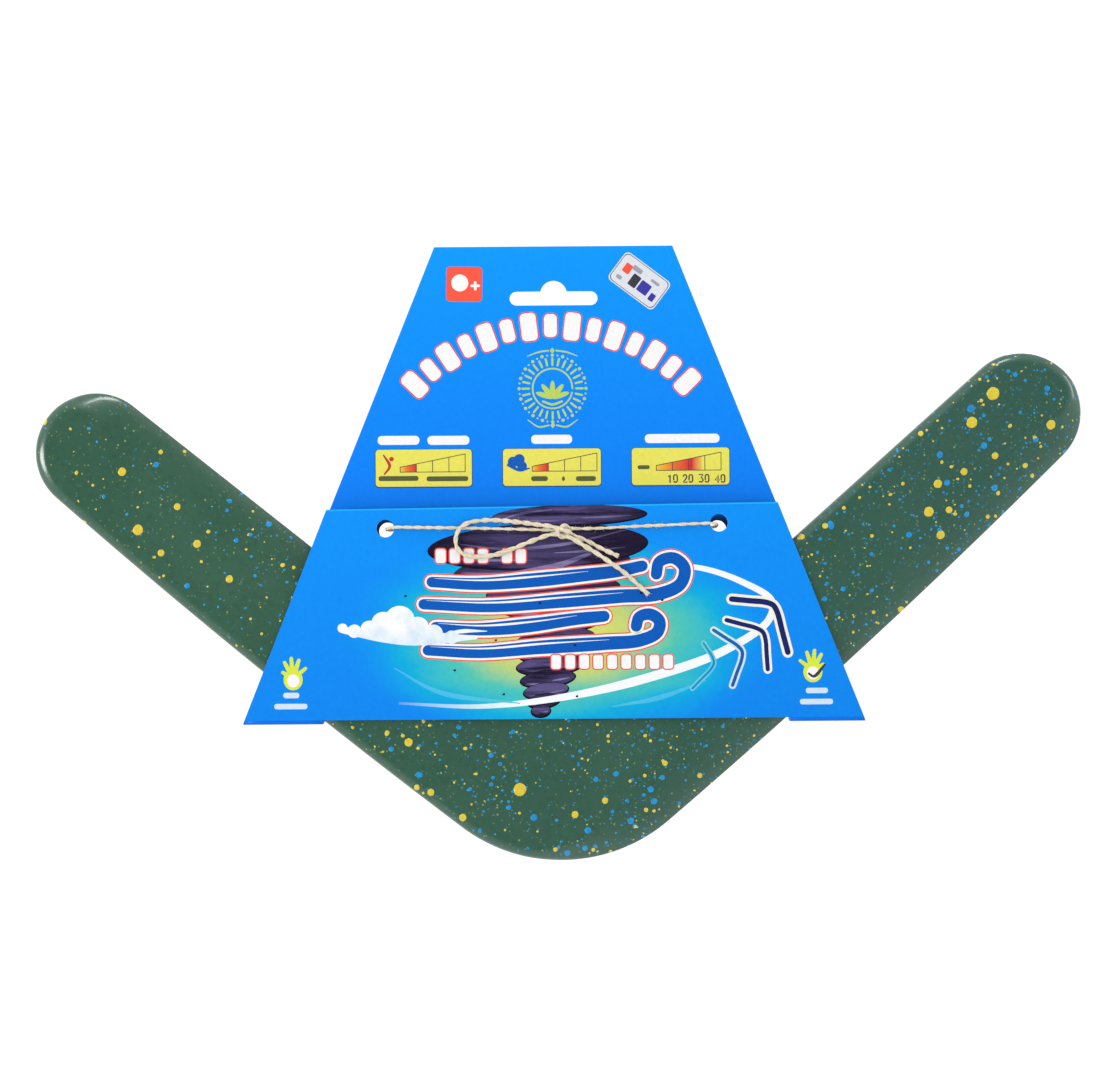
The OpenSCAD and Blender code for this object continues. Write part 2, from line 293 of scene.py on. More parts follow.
# Inside the knot: the right side's turn, the left side's turn, and the loop's way out.
TURN_RIGHT = [(3.1, -9.2, -87), (1.3, -10, -86.3), (0.9, -11, -84.9), (1.9, -11.2, -83.6),
              (3.5, -10.2, -82.9)]
TURN_LEFT = [(3.2, -8.4, -85.2), (5.1, -8.8, -85.8), (5.9, -10, -85.8), (4.8, -11.2, -85.1),
             (3, -11.6, -84.4), (1, -11, -83.8)]
WAY_OUT = [(1.2, -9.8, -86), (3.3, -10.2, -86.4), (5.3, -10.5, -87.1)]


def curve_through(points, step):
    """A smooth line through the points, with rings about step apart (centripetal spline)."""
    p = np.array(points, float)
    p = np.vstack([2 * p[0] - p[1], p, 2 * p[-1] - p[-2]])
    line = []
    for a, b, c, d in zip(p, p[1:], p[2:], p[3:]):
        t0 = 0.0
        t1, t2, t3 = np.cumsum([math.sqrt(np.linalg.norm(v)) for v in (b - a, c - b, d - c)])
        count = max(1, round(np.linalg.norm(c - b) / step))
        for t in t1 + (t2 - t1) * np.arange(count) / count:
            ab = (t1 - t) / (t1 - t0) * a + (t - t0) / (t1 - t0) * b
            bc = (t2 - t) / (t2 - t1) * b + (t - t1) / (t2 - t1) * c
            cd = (t3 - t) / (t3 - t2) * c + (t - t2) / (t3 - t2) * d
            abc = (t2 - t) / (t2 - t0) * ab + (t - t0) / (t2 - t0) * bc
            bcd = (t3 - t) / (t3 - t1) * bc + (t - t1) / (t3 - t1) * cd
            line.append((t2 - t) / (t2 - t1) * abc + (t - t1) / (t2 - t1) * bcd)
    return np.array(line + [p[-2]])


def frames_along(line):
    """For each point of a line, its direction and two directions square to it that don't spin."""
    tangent = unit(np.gradient(line, axis=0))
    across = unit(np.cross(tangent[0], (0, 1, 0.1)))
    u = []
    for t in tangent:
        across = unit(across - t * (across @ t))
        u.append(across)
    u = np.array(u)
    return tangent, u, np.cross(tangent, u)


def twine_material():
    """Straw-coloured hemp with fine fibres along it and worn, darker patches."""
    s = Shader("hemp_twine")
    place = s.place()
    fibres = s.noise(2600, 4, 0.7, s.scaled((1, 1, 0.35), place))
    patches = s.noise(160, 2, 0.5, place)
    straw = s.ramp(fibres, [(0.26, lit(194, 172, 134)), (0.48, lit(242, 229, 198)),
                            (0.72, lit(255, 250, 230))])
    worn = s.mix(s.range(patches, 0.35, 0.7, 0.0, 0.40), straw, lit(216, 197, 158))
    s.bump(fibres, 0.6, 0.0002)
    return s.finish(worn, 0.85, Sheen_Weight=0.35, Sheen_Roughness=0.5, Specular_IOR_Level=0.2)


def twine_strands(rng, line, length, u, v):
    """Tubes laid round each other, unevenly thick, slimmer where the band is pulled tight."""
    strand_r, strand_off = TWINE_D * 0.32, TWINE_D * 0.18
    knots = np.linspace(0, length[-1], 160)
    uneven = 1 + 0.09 * np.interp(length, knots, rng.normal(0, 1, len(knots)))
    uneven *= np.where((length > BAND_FROM) & (length < BAND_TO), 0.92, 1.30)
    twist = length / LAY * 2 * math.pi + 1.2 * np.sin(length / 17)
    verts, faces = [], []
    n = len(line)
    for s in range(STRANDS):
        turn = twist + s * 2 * math.pi / STRANDS
        out = np.cos(turn)[:, None] * u + np.sin(turn)[:, None] * v
        middle = line + out * (strand_off * uneven)[:, None]
        rows = [len(verts) + side * n for side in range(STRAND_SIDES)]
        for side in range(STRAND_SIDES):
            a = turn + side * 2 * math.pi / STRAND_SIDES
            ring = np.cos(a)[:, None] * u + np.sin(a)[:, None] * v
            verts.extend(middle + ring * (strand_r * uneven)[:, None])
        for a, b in zip(rows, rows[1:] + rows[:1]):
            faces += [(a + i, a + i + 1, b + i + 1, b + i) for i in range(n - 1)]
        faces += [rows, [row + n - 1 for row in rows][::-1]]
    return verts, faces


def loose_fibres(rng, line, tangent, u, v, first):
    """Thin three-sided hairs that stand off the strands, thicker at the two cut ends."""
    ends = (1, len(line) - 2)
    hairs = [(rng.integers(2, len(line) - 2), rng.uniform(0.5, 1.6), 0.035) for _ in range(560)]
    hairs += [(end, rng.uniform(0.6, 1.7), 0.06) for end in ends for _ in range(12)]
    verts, faces = [], []
    for at, reach, thick in hairs:
        if abs(line[at, 0]) > HAIR_LIMIT:
            continue
        a = rng.uniform(0, 2 * math.pi)
        side = math.cos(a) * u[at] + math.sin(a) * v[at]
        lean = tangent[at] * rng.normal(0, 0.9)
        if at in ends:
            lean = tangent[at] * (-2.2 if at == 1 else 2.2)
        base = line[at] + side * TWINE_D * 0.35
        way = unit(side + lean)
        bend = rng.normal(0, 0.25, 3)
        root = first + len(verts)
        for part, width in ((0.0, 1.0), (0.5, 0.8), (1.0, 0.3)):
            centre = base + way * reach * part + bend * part * part
            for k in range(3):
                b = k * 2 * math.pi / 3
                off = math.cos(b) * tangent[at] + math.sin(b) * np.cross(way, tangent[at])
                verts.append(centre + thick * width * off)
        for row in (root, root + 3):
            faces += [(row + k, row + (k + 1) % 3, row + (k + 1) % 3 + 3, row + k + 3)
                      for k in range(3)]
        faces += [(root, root + 2, root + 1), (root + 6, root + 7, root + 8)]
    return verts, faces


def make_twine():
    """One length of twine, from one cut end through the bow and round the card to the other."""
    line = curve_through(
        TAIL_SHORT[::-1] + TURN_RIGHT + BAND + TURN_LEFT + LOOP + WAY_OUT + TAIL_LONG, LINE_STEP)
    length = np.concatenate([[0], np.cumsum(np.linalg.norm(np.diff(line, axis=0), axis=1))])
    tangent, u, v = frames_along(line)
    rng = np.random.default_rng(7)
    verts, faces = twine_strands(rng, line, length, u, v)
    hairs, hair_faces = loose_fibres(rng, line, tangent, u, v, len(verts))
    twine = make_mesh("twine_tied_in_a_bow", verts + hairs, faces + hair_faces,
                      [twine_material()])
    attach(twine, "card")
    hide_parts("twine_band", "twine_knot", "twine_bow_loop", "twine_tail_short",
                "twine_tail_long")


# ---------------------------------------------------------------- boomerang

# The outline is made of arcs in the boomerang's own plane, with its origin midway between the
# centres of the two tips. The outer edges are bowed, and the crotch is the inner corner.
TIP_HALF, TIP_R, ELBOW_R, BOW_R, CROTCH_R = 168.4, 21.7, 60.0, 2580.0, 90.0
ELBOW = np.array([-3.2, ELBOW_R - 155.4])
TAPER = 0.8                      # degrees by which each arm narrows
BOARD_T, PLY_T, REAR_ROUND = 6.0, 1.2, 0.6
BLUNT_W, BLUNT_FOOT = 4.5, 2.0   # the rounded leading edge and where it starts
BEVEL_W, BEVEL_FOOT = 14.0, 0.9  # the long bevel of the trailing edge, with a rounded foot
BEVEL_POWER = 1.6                # more than 1 rounds the bevel
# Where the boomerang lies in the card: its origin, its turn and the height of its flat side.
BOOM_X, BOOM_Z, BOOM_TURN, BOOM_REAR_Y = 1.5, -49.0, math.radians(2.1), -0.6


def bow_centre(tip, elbow):
    """The centre of the wide arc that touches the tip's circle and the elbow's from inside."""
    along = elbow - tip
    far = np.linalg.norm(along)
    x = (far ** 2 + (BOW_R - TIP_R) ** 2 - (BOW_R - ELBOW_R) ** 2) / (2 * far)
    h = math.sqrt((BOW_R - TIP_R) ** 2 - x * x)
    return tip + (x * along + h * np.array([-along[1], along[0]])) / far


def slope(a, b):
    """The direction from a to b, in degrees from straight up."""
    return math.degrees(math.atan2(b[0] - a[0], b[1] - a[1]))


def arc(centre, r, a, b, steps, share_a, share_b, fade_a=0.0, fade_b=1.0):
    """A stretch of outline: points, outward directions and the share of trailing bevel."""
    t = np.arange(steps) / steps
    n = direction(a + (b - a) * t)
    share = share_a + (share_b - share_a) * smooth_step((t - fade_a) / (fade_b - fade_a))
    return np.hstack([centre + r * n, n, share[:, None]])


def straight(p, q, a, steps, share):
    """A straight stretch of outline from p to q, facing the direction a."""
    t = (np.arange(steps) / steps)[:, None]
    rest = np.broadcast_to([*direction(a), share], (steps, 3))
    return np.hstack([p + (q - p) * t, rest])


def outline():
    """The edge of the flat side, counter-clockwise from the left tip's end, and half its count."""
    tip, mirrored_elbow = np.array([-TIP_HALF, 0.0]), ELBOW * (-1, 1)
    bow_l, bow_r = bow_centre(tip, ELBOW), bow_centre(tip, mirrored_elbow)
    tip_l, tip_r = slope(tip, bow_l), slope(tip, bow_r)
    elbow_l, elbow_r = slope(ELBOW, bow_l), slope(mirrored_elbow, bow_r)
    inner_l = 90 - (tip_l + elbow_l) / 2 + TAPER
    inner_r = 90 + (tip_r + elbow_r) / 2 - TAPER
    reach_l = tip @ direction(inner_l) + TIP_R + CROTCH_R
    reach_r = -tip @ direction(inner_r) + TIP_R + CROTCH_R
    sin_l, sin_r = math.sin(math.radians(inner_l)), math.sin(math.radians(inner_r))
    cos_l, cos_r = math.cos(math.radians(inner_l)), math.cos(math.radians(inner_r))
    crotch = np.array([reach_l * sin_r - reach_r * sin_l, reach_r * cos_l - reach_l * cos_r])
    crotch /= math.sin(math.radians(inner_r - inner_l))
    end_l, end_r = (inner_l + 270 - tip_l) / 2, (inner_r + tip_r - 90) / 2
    tips, edges, turns = 40, 70, 72
    outer = [
        arc(tip, TIP_R, end_l, 270 - tip_l, tips, 0, 0),
        arc(bow_l, BOW_R, 270 - tip_l, 270 - elbow_l, edges, 0, 0),
        arc(ELBOW, ELBOW_R, 270 - elbow_l, 270 + elbow_r, turns, 0, 1, 0.3, 0.9),
        arc(bow_r * (-1, 1), BOW_R, 270 + elbow_r, 270 + tip_r, edges, 1, 1),
        arc(-tip, TIP_R, tip_r - 90, end_r, tips, 1, 0, 0, 0.9),
    ]
    left_foot = crotch - CROTCH_R * direction(inner_l)
    right_foot = crotch - CROTCH_R * direction(inner_r)
    inner = [
        arc(tip, TIP_R, end_l, inner_l, tips, 0, 1, 0.1, 1),
        straight(tip + TIP_R * direction(inner_l), left_foot, inner_l, edges, 1),
        arc(crotch, -CROTCH_R, inner_l, inner_r, turns, 1, 0, 0.1, 0.9),
        straight(right_foot, -tip + TIP_R * direction(inner_r), inner_r, edges, 0),
        arc(-tip, TIP_R, inner_r, end_r, tips, 0, 0),
    ]
    last = np.array([[*(-tip + TIP_R * direction(end_r)), *direction(end_r), 0]])
    outer, inner = np.vstack(outer), np.vstack(inner)
    return np.vstack([outer, last, inner[:0:-1]]), len(outer)


def in_place(u, v, h):
    """From the boomerang's own plane, and the height over its flat side, to the card's frame."""
    c, s = math.cos(BOOM_TURN), math.sin(BOOM_TURN)
    return np.stack([BOOM_X + u * c - v * s, BOOM_REAR_Y - h, BOOM_Z + u * s + v * c], axis=-1)


def own_plane(x, z):
    """From the card's frame to the boomerang's own plane."""
    c, s = math.cos(BOOM_TURN), math.sin(BOOM_TURN)
    return (x - BOOM_X) * c + (z - BOOM_Z) * s, (z - BOOM_Z) * c - (x - BOOM_X) * s


def rear_inset(h):
    """How far in from the outline the rounded rim of the flat side is at a height."""
    low = np.clip(REAR_ROUND - h, 0, REAR_ROUND)
    return REAR_ROUND - np.sqrt(REAR_ROUND ** 2 - low ** 2)


def edge_inset(h, share):
    """How far in from the outline the front's surface is at a height."""
    rise = np.clip((h - BLUNT_FOOT) / (BOARD_T - BLUNT_FOOT), 0, 1)
    blunt = BLUNT_W * (1 - np.sqrt(1 - rise ** 2))
    bevel = BEVEL_W * np.clip((h - BEVEL_FOOT) / (BOARD_T - BEVEL_FOOT), 0, 1) ** BEVEL_POWER
    return (1 - share) * blunt + share * bevel


def on_front(edge, points):
    """Points of the boomerang's plane, pulled in to its outline, and the front's height there."""
    levels = np.linspace(BEVEL_FOOT, BOARD_T, 60)
    batch = 4000        # points worked out at once, to save memory
    kept, heights = [], []
    for p in np.array_split(points, len(points) // batch + 1):
        at = np.linalg.norm(p[:, None] - edge[None, :, :2], axis=2).argmin(axis=1)
        out = edge[at, 2:4]
        depth = np.sum((edge[at, :2] - p) * out, axis=1)
        insets = edge_inset(levels[None], edge[at, 4][:, None])
        i = np.clip((insets < depth[:, None]).sum(axis=1), 1, len(levels) - 1)
        rows = np.arange(len(p))
        low, high = insets[rows, i - 1], insets[rows, i]
        t = np.clip((depth - low) / np.maximum(high - low, 1e-6), 0, 1)
        kept.append(p + np.minimum(depth, 0)[:, None] * out)
        heights.append(levels[i - 1] + t * (levels[i] - levels[i - 1]))
    return np.vstack(kept), np.concatenate(heights)


# The mist's layers: cells to a metre, a drop's size in its cell, colour, how much it covers, and
# how much commoner the drops get to the right.
MIST = (
    (700, 0.24, lit(150, 170, 95), 0.5, 0.0), (560, 0.24, lit(30, 135, 175), 0.6, 1.3),
    (380, 0.17, lit(185, 190, 90), 0.55, 0.0), (330, 0.17, lit(24, 130, 176), 0.62, 1.1),
    (230, 0.16, lit(52, 116, 128), 0.5, 1.0),
)


def paint_material():
    s = Shader("gloss_green_paint")
    place = s.place()
    side = s.axis(place, "X")
    # Paint that is a little uneven, and cooler where more blue mist fell, on the right.
    cloud = s.noise(28, 4, 0.6, place)
    fine = s.noise(420, 3, 0.6, place)
    base = s.mix(cloud, lit(45, 88, 67), lit(59, 104, 83))
    base = s.mix(s.maths("MULTIPLY", s.range(side, -0.10, 0.15), 0.55), base,
                 s.mix(fine, lit(43, 87, 75), lit(57, 102, 93)))
    base = s.mix(s.range(fine, 0.5, 0.75, 0.0, 0.35), base, lit(34, 72, 50))
    # The finest mist of drops, too small to stand up from the surface.
    for scale, limit, colour, share, to_right in MIST:
        cells = s.node("TexVoronoi", Vector=place, Scale=scale)
        dot = s.range(cells.outputs["Distance"], limit, limit * 0.6)
        luck = s.maths("ADD", s.axis(cells.outputs["Color"], "X"),
                       s.maths("MULTIPLY", side, to_right))
        rare = s.range(luck, 0.64, 0.72)
        dot = s.maths("MULTIPLY", dot, rare)
        base = s.mix(s.maths("MULTIPLY", dot, share), base, colour)
    # Orange peel of sprayed paint, and the glue lines between the plies that show through it.
    height = s.axis(place, "Y")
    plies = s.maths("MULTIPLY", s.maths("ADD", height, -BOOM_REAR_Y * MM), 1 / (PLY_T * MM))
    line = s.maths("PINGPONG", plies, 0.5)
    step = s.range(line, 0.0, 0.12, 0.0, 0.25)
    peel = s.maths("ADD", s.noise(230, 2, 0.5, place), s.maths("MULTIPLY", fine, 0.25))
    s.bump(s.maths("ADD", peel, step), 0.10, 0.0004)
    rough = s.range(cloud, 0.3, 0.7, 0.24, 0.34)
    return s.finish(base, rough, Coat_Weight=0.6, Coat_Roughness=0.11, Specular_IOR_Level=0.4)


# How high over the flat side the mesh has its rings, closer together on the round edges.
RING_HEIGHTS = (0.0, 0.05, 0.15, 0.3, 0.45, 0.6, 0.9, 1.0, 1.15, 1.35, 1.6, 1.8, 2.0, 2.4, 2.7,
                3.0, 3.3, 3.6, 3.9, 4.2, 4.5, 4.8, 5.05, 5.3, 5.5, 5.66, 5.8, 5.9, 5.96, 5.99,
                BOARD_T)


def make_body(edge, half):
    """The board: rings up the shaped edges, closed by strips across both faces."""
    rings = [(h, rear_inset(h) + edge_inset(h, edge[:, 4])) for h in RING_HEIGHTS]
    foot, brim = rings[0][1], rings[-1][1]
    rings = [(0.0, foot + 2.0)] + rings + [(BOARD_T, brim + 1.2), (BOARD_T, brim + 3.0)]
    n = len(edge)
    verts = np.vstack([in_place(edge[:, 0] - inset * edge[:, 2], edge[:, 1] - inset * edge[:, 3],
                                np.full(n, h)) for h, inset in rings])
    faces = ring_faces(len(rings), n)
    top = (len(rings) - 1) * n
    for i in range(half):
        # A strip from one long edge to the other; the two at the tips are triangles.
        strip = list(dict.fromkeys((i, i + 1, (n - i - 1) % n, (n - i) % n)))
        faces += [[top + corner for corner in strip], strip[::-1]]
    body = make_mesh("painted_boomerang", verts, faces, [paint_material()])
    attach(body, "boomerang")
    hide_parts("ply_1_back_veneer", "ply_2_cross", "ply_3_core", "ply_4_cross",
                "ply_5_face_veneer")


def drop_material(name, deep, bright):
    """Glossy paint of a drop, in a deep and a bright shade of its colour."""
    s = Shader(name)
    place = s.place()
    wash = s.noise(900, 3, 0.6, place)
    spots = s.noise(160, 1, 0.5, place)
    colour = s.mix(s.range(wash, 0.3, 0.7), deep, bright)
    colour = s.mix(s.range(spots, 0.45, 0.65, 0.0, 0.35), colour, deep)
    s.bump(wash, 0.15, 0.0002)
    return s.finish(colour, 0.26, Coat_Weight=0.5, Coat_Roughness=0.1)


# The largest drops of paint on the front, listed: x and z in the card's frame, radius.
BIG_YELLOW = (
    (158.9, -36.1, 2.36), (151.2, -46.5, 2.03), (179.9, -47.5, 1.74), (138.7, -68.6, 1.56),
    (135.4, -78.7, 1.81), (139.7, -87.1, 1.56), (148.2, -64.3, 1.31), (159.5, -58.6, 1.27),
    (142.7, -78.1, 1.23), (-151.1, -83.3, 1.92), (-156.7, -62.2, 1.52), (-129.7, -88.5, 1.45),
    (-136.8, -75, 1.27), (-142.8, -91.7, 1.27), (-118.1, -101.3, 1.38), (-13.4, -178.3, 2.4),
    (-53.6, -160.9, 1.52), (-45.7, -179.1, 1.31), (-34.2, -188.3, 1.38), (6.5, -187.5, 1.31),
    (17.4, -182.5, 1.16), (-50.8, -177.3, 1.09),
)
BIG_BLUE = (
    (150.9, -41.5, 1.38), (155.5, -54.9, 1.2), (159.4, -70.2, 1.23), (139.5, -58.1, 1.16),
    (142, -68.3, 1.09), (128.1, -87, 1.09), (178.5, -34.4, 1.02), (174.4, -52.9, 1.02),
    (-144.4, -59.7, 1.02), (-133.4, -103.7, 1.02), (-8.4, -188.5, 1.27), (35.2, -183, 1.2),
    (38.2, -174.3, 0.94), (-23.8, -165.8, 0.94), (14.2, -174.8, 0.94), (10, -199.8, 1.02),
)


def yellow_weight(p):
    """How likely a yellow drop is at each point: in patches, and a little rarer far left."""
    patch = 0.6 + 0.4 * np.sin(p[:, 0] * 0.09 + 1) * np.sin(p[:, 1] * 0.11)
    return patch * np.interp(p[:, 0], [-170, -120, -60, 170], [0.45, 0.8, 1.0, 1.0])


def blue_weight(p):
    """How likely a blue drop is at each point: in patches, and much rarer on the left arm."""
    patch = 0.65 + 0.35 * np.sin(p[:, 0] * 0.07) * np.sin(p[:, 1] * 0.08 + 2)
    return patch * np.interp(p[:, 0], [-170, -120, -60, 0, 60, 170],
                             [0.06, 0.3, 0.7, 0.8, 0.9, 1.0])


LARGEST, APART = 1.25, 0.2     # the largest scattered drop, and its distance from a placed one
BIG_DROP = 0.9                 # drops of a larger radius get more corners and a rounder outline
DOME = ((1.0, -0.1), (0.86, 0.62), (0.5, 0.93))     # a drop's rings, as shares of radius, height


def scatter(rng, edge, count, weight, small, spread, keep_off, side):
    """Drops as u, v, radius, stretch, turn and side: -1 on the front, 1 on the flat side."""
    tries = count * 5        # many fall beside the boomerang
    left, right, foot, top = -190, 190, -158, 24      # a box round the boomerang
    p = np.column_stack([rng.uniform(left, right, tries), rng.uniform(foot, top, tries)])
    p = p[in_polygon(edge[:, :2], p) & (rng.uniform(size=len(p)) < weight(p))][:count]
    drops = []
    for u, v in p:
        r = min(LARGEST, small + rng.exponential(spread))
        if any(math.hypot(u - d[0], v - d[1]) < d[2] + r + APART for d in keep_off):
            continue
        stretch = 1 + max(0, rng.normal(0, 0.18))
        drops.append((u, v, r, stretch, rng.uniform(0, math.pi), side))
        if rng.uniform() < 0.10:     # a small drop that ran into this one
            a, off = rng.uniform(0, 2 * math.pi), r * 1.1
            drops.append((u + math.cos(a) * off, v + math.sin(a) * off, r * 0.6, 1, 0, side))
    return drops


def make_drops(name, material, rng, edge, drops):
    """Each drop is a low dome that follows the surface, closed underneath."""
    points, rises, sides, faces = [], [], [], []
    for u, v, r, stretch, turn, side in drops:
        count, uneven = (14, 0.02) if r > BIG_DROP else (9, 0.06)
        high = min(0.17, 0.05 + 0.05 * r)
        round_ = direction(np.arange(count) * 360 / count)
        wobble = rng.normal(0, uneven, count)
        round_ = round_ * (1 + wobble)[:, None] * (r * stretch, r)
        round_ = turned(round_, (0, 0), math.degrees(turn))
        first = len(points)
        for reach, up in DOME:
            points += (round_ * reach + (u, v)).tolist()
            rises += [up * high] * count
        points.append([u, v])
        rises.append(high)
        sides += [side] * (3 * count + 1)
        made = [list(range(first, first + count))[::-1]]
        for k in range(count):
            m = (k + 1) % count
            made += [(first + part + k, first + part + m, first + part + count + m,
                      first + part + count + k) for part in (0, count)]
            made.append((first + 2 * count + k, first + 2 * count + m, first + 3 * count))
        faces += made if side < 0 else [f[::-1] for f in made]
    points, height = on_front(edge, np.array(points))
    sides, rises = np.array(sides), np.array(rises)
    height = np.where(sides < 0, height + rises, -rises)
    piece = make_mesh(name, in_place(points[:, 0], points[:, 1], height), faces, [material])
    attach(piece, "boomerang")


# For each colour: the listed drops, how many more are tried in front and behind, where
# they fall, their smallest radius, how much larger they are on average, and the two shades.
SPLATTER = {
    "yellow": (BIG_YELLOW, 380, 260, yellow_weight, 0.25, 0.21, lit(218, 188, 44),
               lit(238, 220, 66)),
    "blue": (BIG_BLUE, 1000, 420, blue_weight, 0.24, 0.17, lit(0, 128, 192), lit(0, 166, 236)),
}


def make_splatter(edge):
    """Flicked paint on both sides, mostly yellow on the left arm and blue on the right."""
    rng = np.random.default_rng(21)
    for colour, (big, front, rear, weight, small, spread, deep, bright) in SPLATTER.items():
        drops = [(*own_plane(x, z), r, 1.06, 1.2, -1) for x, z, r in big]
        drops += scatter(rng, edge, front, weight, small, spread, tuple(drops), -1)
        drops += scatter(rng, edge, rear, weight, small, spread, (), 1)
        make_drops("paint_drops_" + colour, drop_material(colour + "_paint", deep, bright),
                   rng, edge, drops)


# ---------------------------------------------------------------- flat shapes for the print

def in_polygon(polygon, points):
    """Which points are inside the polygon."""
    inside = np.zeros(len(points), bool)
    x, y = points[:, 0], points[:, 1]
    for (x1, y1), (x2, y2) in zip(polygon, np.roll(polygon, -1, axis=0)):
        crosses = (y1 > y) != (y2 > y)
        with np.errstate(divide="ignore", invalid="ignore"):
            inside ^= crosses & (x < (x2 - x1) * (y - y1) / (y2 - y1) + x1)
    return inside


def turned(points, centre, degrees):
    """Points turned round the origin and then moved to a centre."""
    a = math.radians(degrees)
    m = np.array([[math.cos(a), math.sin(a)], [-math.sin(a), math.cos(a)]])
    return np.asarray(points, float) @ m + centre


def rounded_box(cx, cz, w, h, r, turn=0.0):
    """A box with rounded corners, each of five points, turned."""
    step = 90 / 4
    corners = [(w / 2 - r, h / 2 - r, 0), (r - w / 2, h / 2 - r, 90),
               (r - w / 2, r - h / 2, 180), (w / 2 - r, r - h / 2, 270)]
    points = [np.array([x, z]) + r * direction(a + step * k)
              for x, z, a in corners for k in range(5)]
    return turned(points, (cx, cz), turn)


def ellipse(cx, cz, rx, rz=None, turn=0.0, count=28):
    a = np.arange(count) * 360 / count
    return turned(direction(a) * (rx, rz or rx), (cx, cz), turn)


def smooth_line(points, per_step=6):
    """A smooth line in the plane, with points from 0.3 to 0.9 mm apart."""
    p = np.array(points, float)
    flat = np.column_stack([p, np.zeros(len(p))])
    step = np.linalg.norm(np.diff(p, axis=0), axis=1).mean() / per_step
    line = curve_through(flat, min(max(step, 0.3), 0.9))
    return line[:, :2]


def ribbon(points, width, taper=(1.0, 1.0), smooth=True, grow=0.0):
    """A band along a line, with round ends, and narrower towards an end where taper says so."""
    line = smooth_line(points) if smooth else np.array(points, float)
    tangent = unit(np.gradient(line, axis=0))
    side = np.column_stack([-tangent[:, 1], tangent[:, 0]])
    t = np.linspace(0, 1, len(line))
    share = np.interp(t, [0, 0.45, 0.55, 1], [taper[0], 1, 1, taper[1]])
    half = (width / 2 * share + grow)[:, None]
    caps = []
    for end, sign in ((-1, 1), (0, -1)):
        angle = np.degrees(math.atan2(*(side[end] * sign)[::-1]))
        caps.append(line[end] + half[end] * direction(angle - np.arange(1, 6) * 30))
    return np.vstack([line + side * half, caps[0], (line - side * half)[::-1], caps[1]])


# Single strokes for the numbers on the distance gauge, on a grid one wide and two high.
DIGITS = {
    "0": [(0, 0.4), (0.15, 0.08), (0.5, 0), (0.85, 0.08), (1, 0.4), (1, 1.6), (0.85, 1.92),
          (0.5, 2), (0.15, 1.92), (0, 1.6), (0, 0.5)],
    "1": [(0.2, 1.6), (0.6, 2), (0.6, 0)],
    "2": [(0, 1.6), (0.3, 2), (0.8, 1.95), (1, 1.5), (0.8, 1), (0, 0), (1, 0)],
    "3": [(0, 2), (0.95, 2), (0.45, 1.15), (0.9, 0.95), (1, 0.4), (0.6, 0), (0, 0.1)],
    "4": [(1.05, 0.6), (-0.05, 0.6), (0.75, 2), (0.75, 0)],
}


# ---------------------------------------------------------------- printing inks

TOP, FOOT = 19, -154         # the card's highest and lowest points, in mm
GLOW, GLOW_W, GLOW_H = (1.5, -122.8), 81.31, 40.66     # the glow's middle and half sizes
CUT_EDGE = (236, 238, 240)   # the board's bare white along a cut


def flat_ink(red, green, blue):
    """An ink of one colour all over."""
    return lambda s, place: lit(red, green, blue)


def across(s, place, axis, low, high, stops):
    """A colour that changes along an axis, between two places in mm."""
    return s.ramp(s.range(s.axis(place, axis), low * MM, high * MM), stops)


def header_blue(s, place):
    """The back panel's print: blue, lighter to the top, its darkening towards the flap partly
    painted shade, and dark where the flap covers it, a painted shade.
    """
    # painted shade: this dark blue below the flap's top stands in for the shadow inside the pocket,
    # seen through the twine holes
    dark = lit(6, 56, 118)
    return across(s, place, "Z", FOOT, TOP,
                  [(0.0, dark), (0.424, dark), (0.444, lit(0, 130, 254)),
                   (0.66, lit(0, 138, 252)), (1.0, lit(0, 156, 255))])


def header_blue_rear(s, place):
    """The card's other side: the same blue, a little rubbed at the top and the fold."""
    base = across(s, place, "Z", FOOT, TOP, [(0.0, lit(0, 116, 238)), (1.0, lit(0, 148, 252))])
    rubs = s.noise(90, 6, 0.7, s.scaled((1, 1, 0.3), place))
    return s.mix(s.range(rubs, 0.66, 0.80, 0.0, 0.35), base, lit(120, 185, 245))


def flap_blue(s, place):
    """The flap's ground: blue, with a teal and yellow-green glow behind the whirlwind."""
    base = across(s, place, "Z", FOOT, -76, [(0.0, lit(0, 135, 242)), (1.0, lit(0, 148, 252))])
    scale = (1 / (GLOW_W * MM), 0, 1 / (GLOW_H * MM))
    centre = (-GLOW[0] / GLOW_W, 0, -GLOW[1] / GLOW_H)
    centred = s.node("Mapping", Vector=place, Location=centre, Scale=scale).outputs["Vector"]
    far = s.node("VectorMath", {"operation": "LENGTH"}, i0=centred).outputs["Value"]
    swirl = s.noise(30, 3, 0.5, s.scaled((1, 1, 3), place))
    far = s.maths("ADD", far, s.range(swirl, 0.0, 1.0, -0.12, 0.12))
    glow = s.ramp(far, [(0.08, lit(226, 224, 104)), (0.32, lit(194, 214, 122)),
                        (0.51, lit(82, 200, 182)), (0.72, lit(0, 182, 220)),
                        (1.0, lit(0, 158, 246))])
    share = s.ramp(far, [(0.62, (1, 1, 1, 1)), (1.0, (0, 0, 0, 1))], "EASE")
    return s.mix(share, base, glow)


def return_arc_ink(s, place):
    """White that fades into the ground towards the flight path's far end."""
    share = s.range(s.axis(place, "X"), -56.7 * MM, -13.2 * MM, 0.15, 1.0)
    return s.mix(share, flap_blue(s, place), lit(248, 252, 255))


def ghost_ink(share, red, green, blue):
    """An ink that lets part of the ground show through."""
    return lambda s, place: s.mix(share, flap_blue(s, place), lit(red, green, blue))


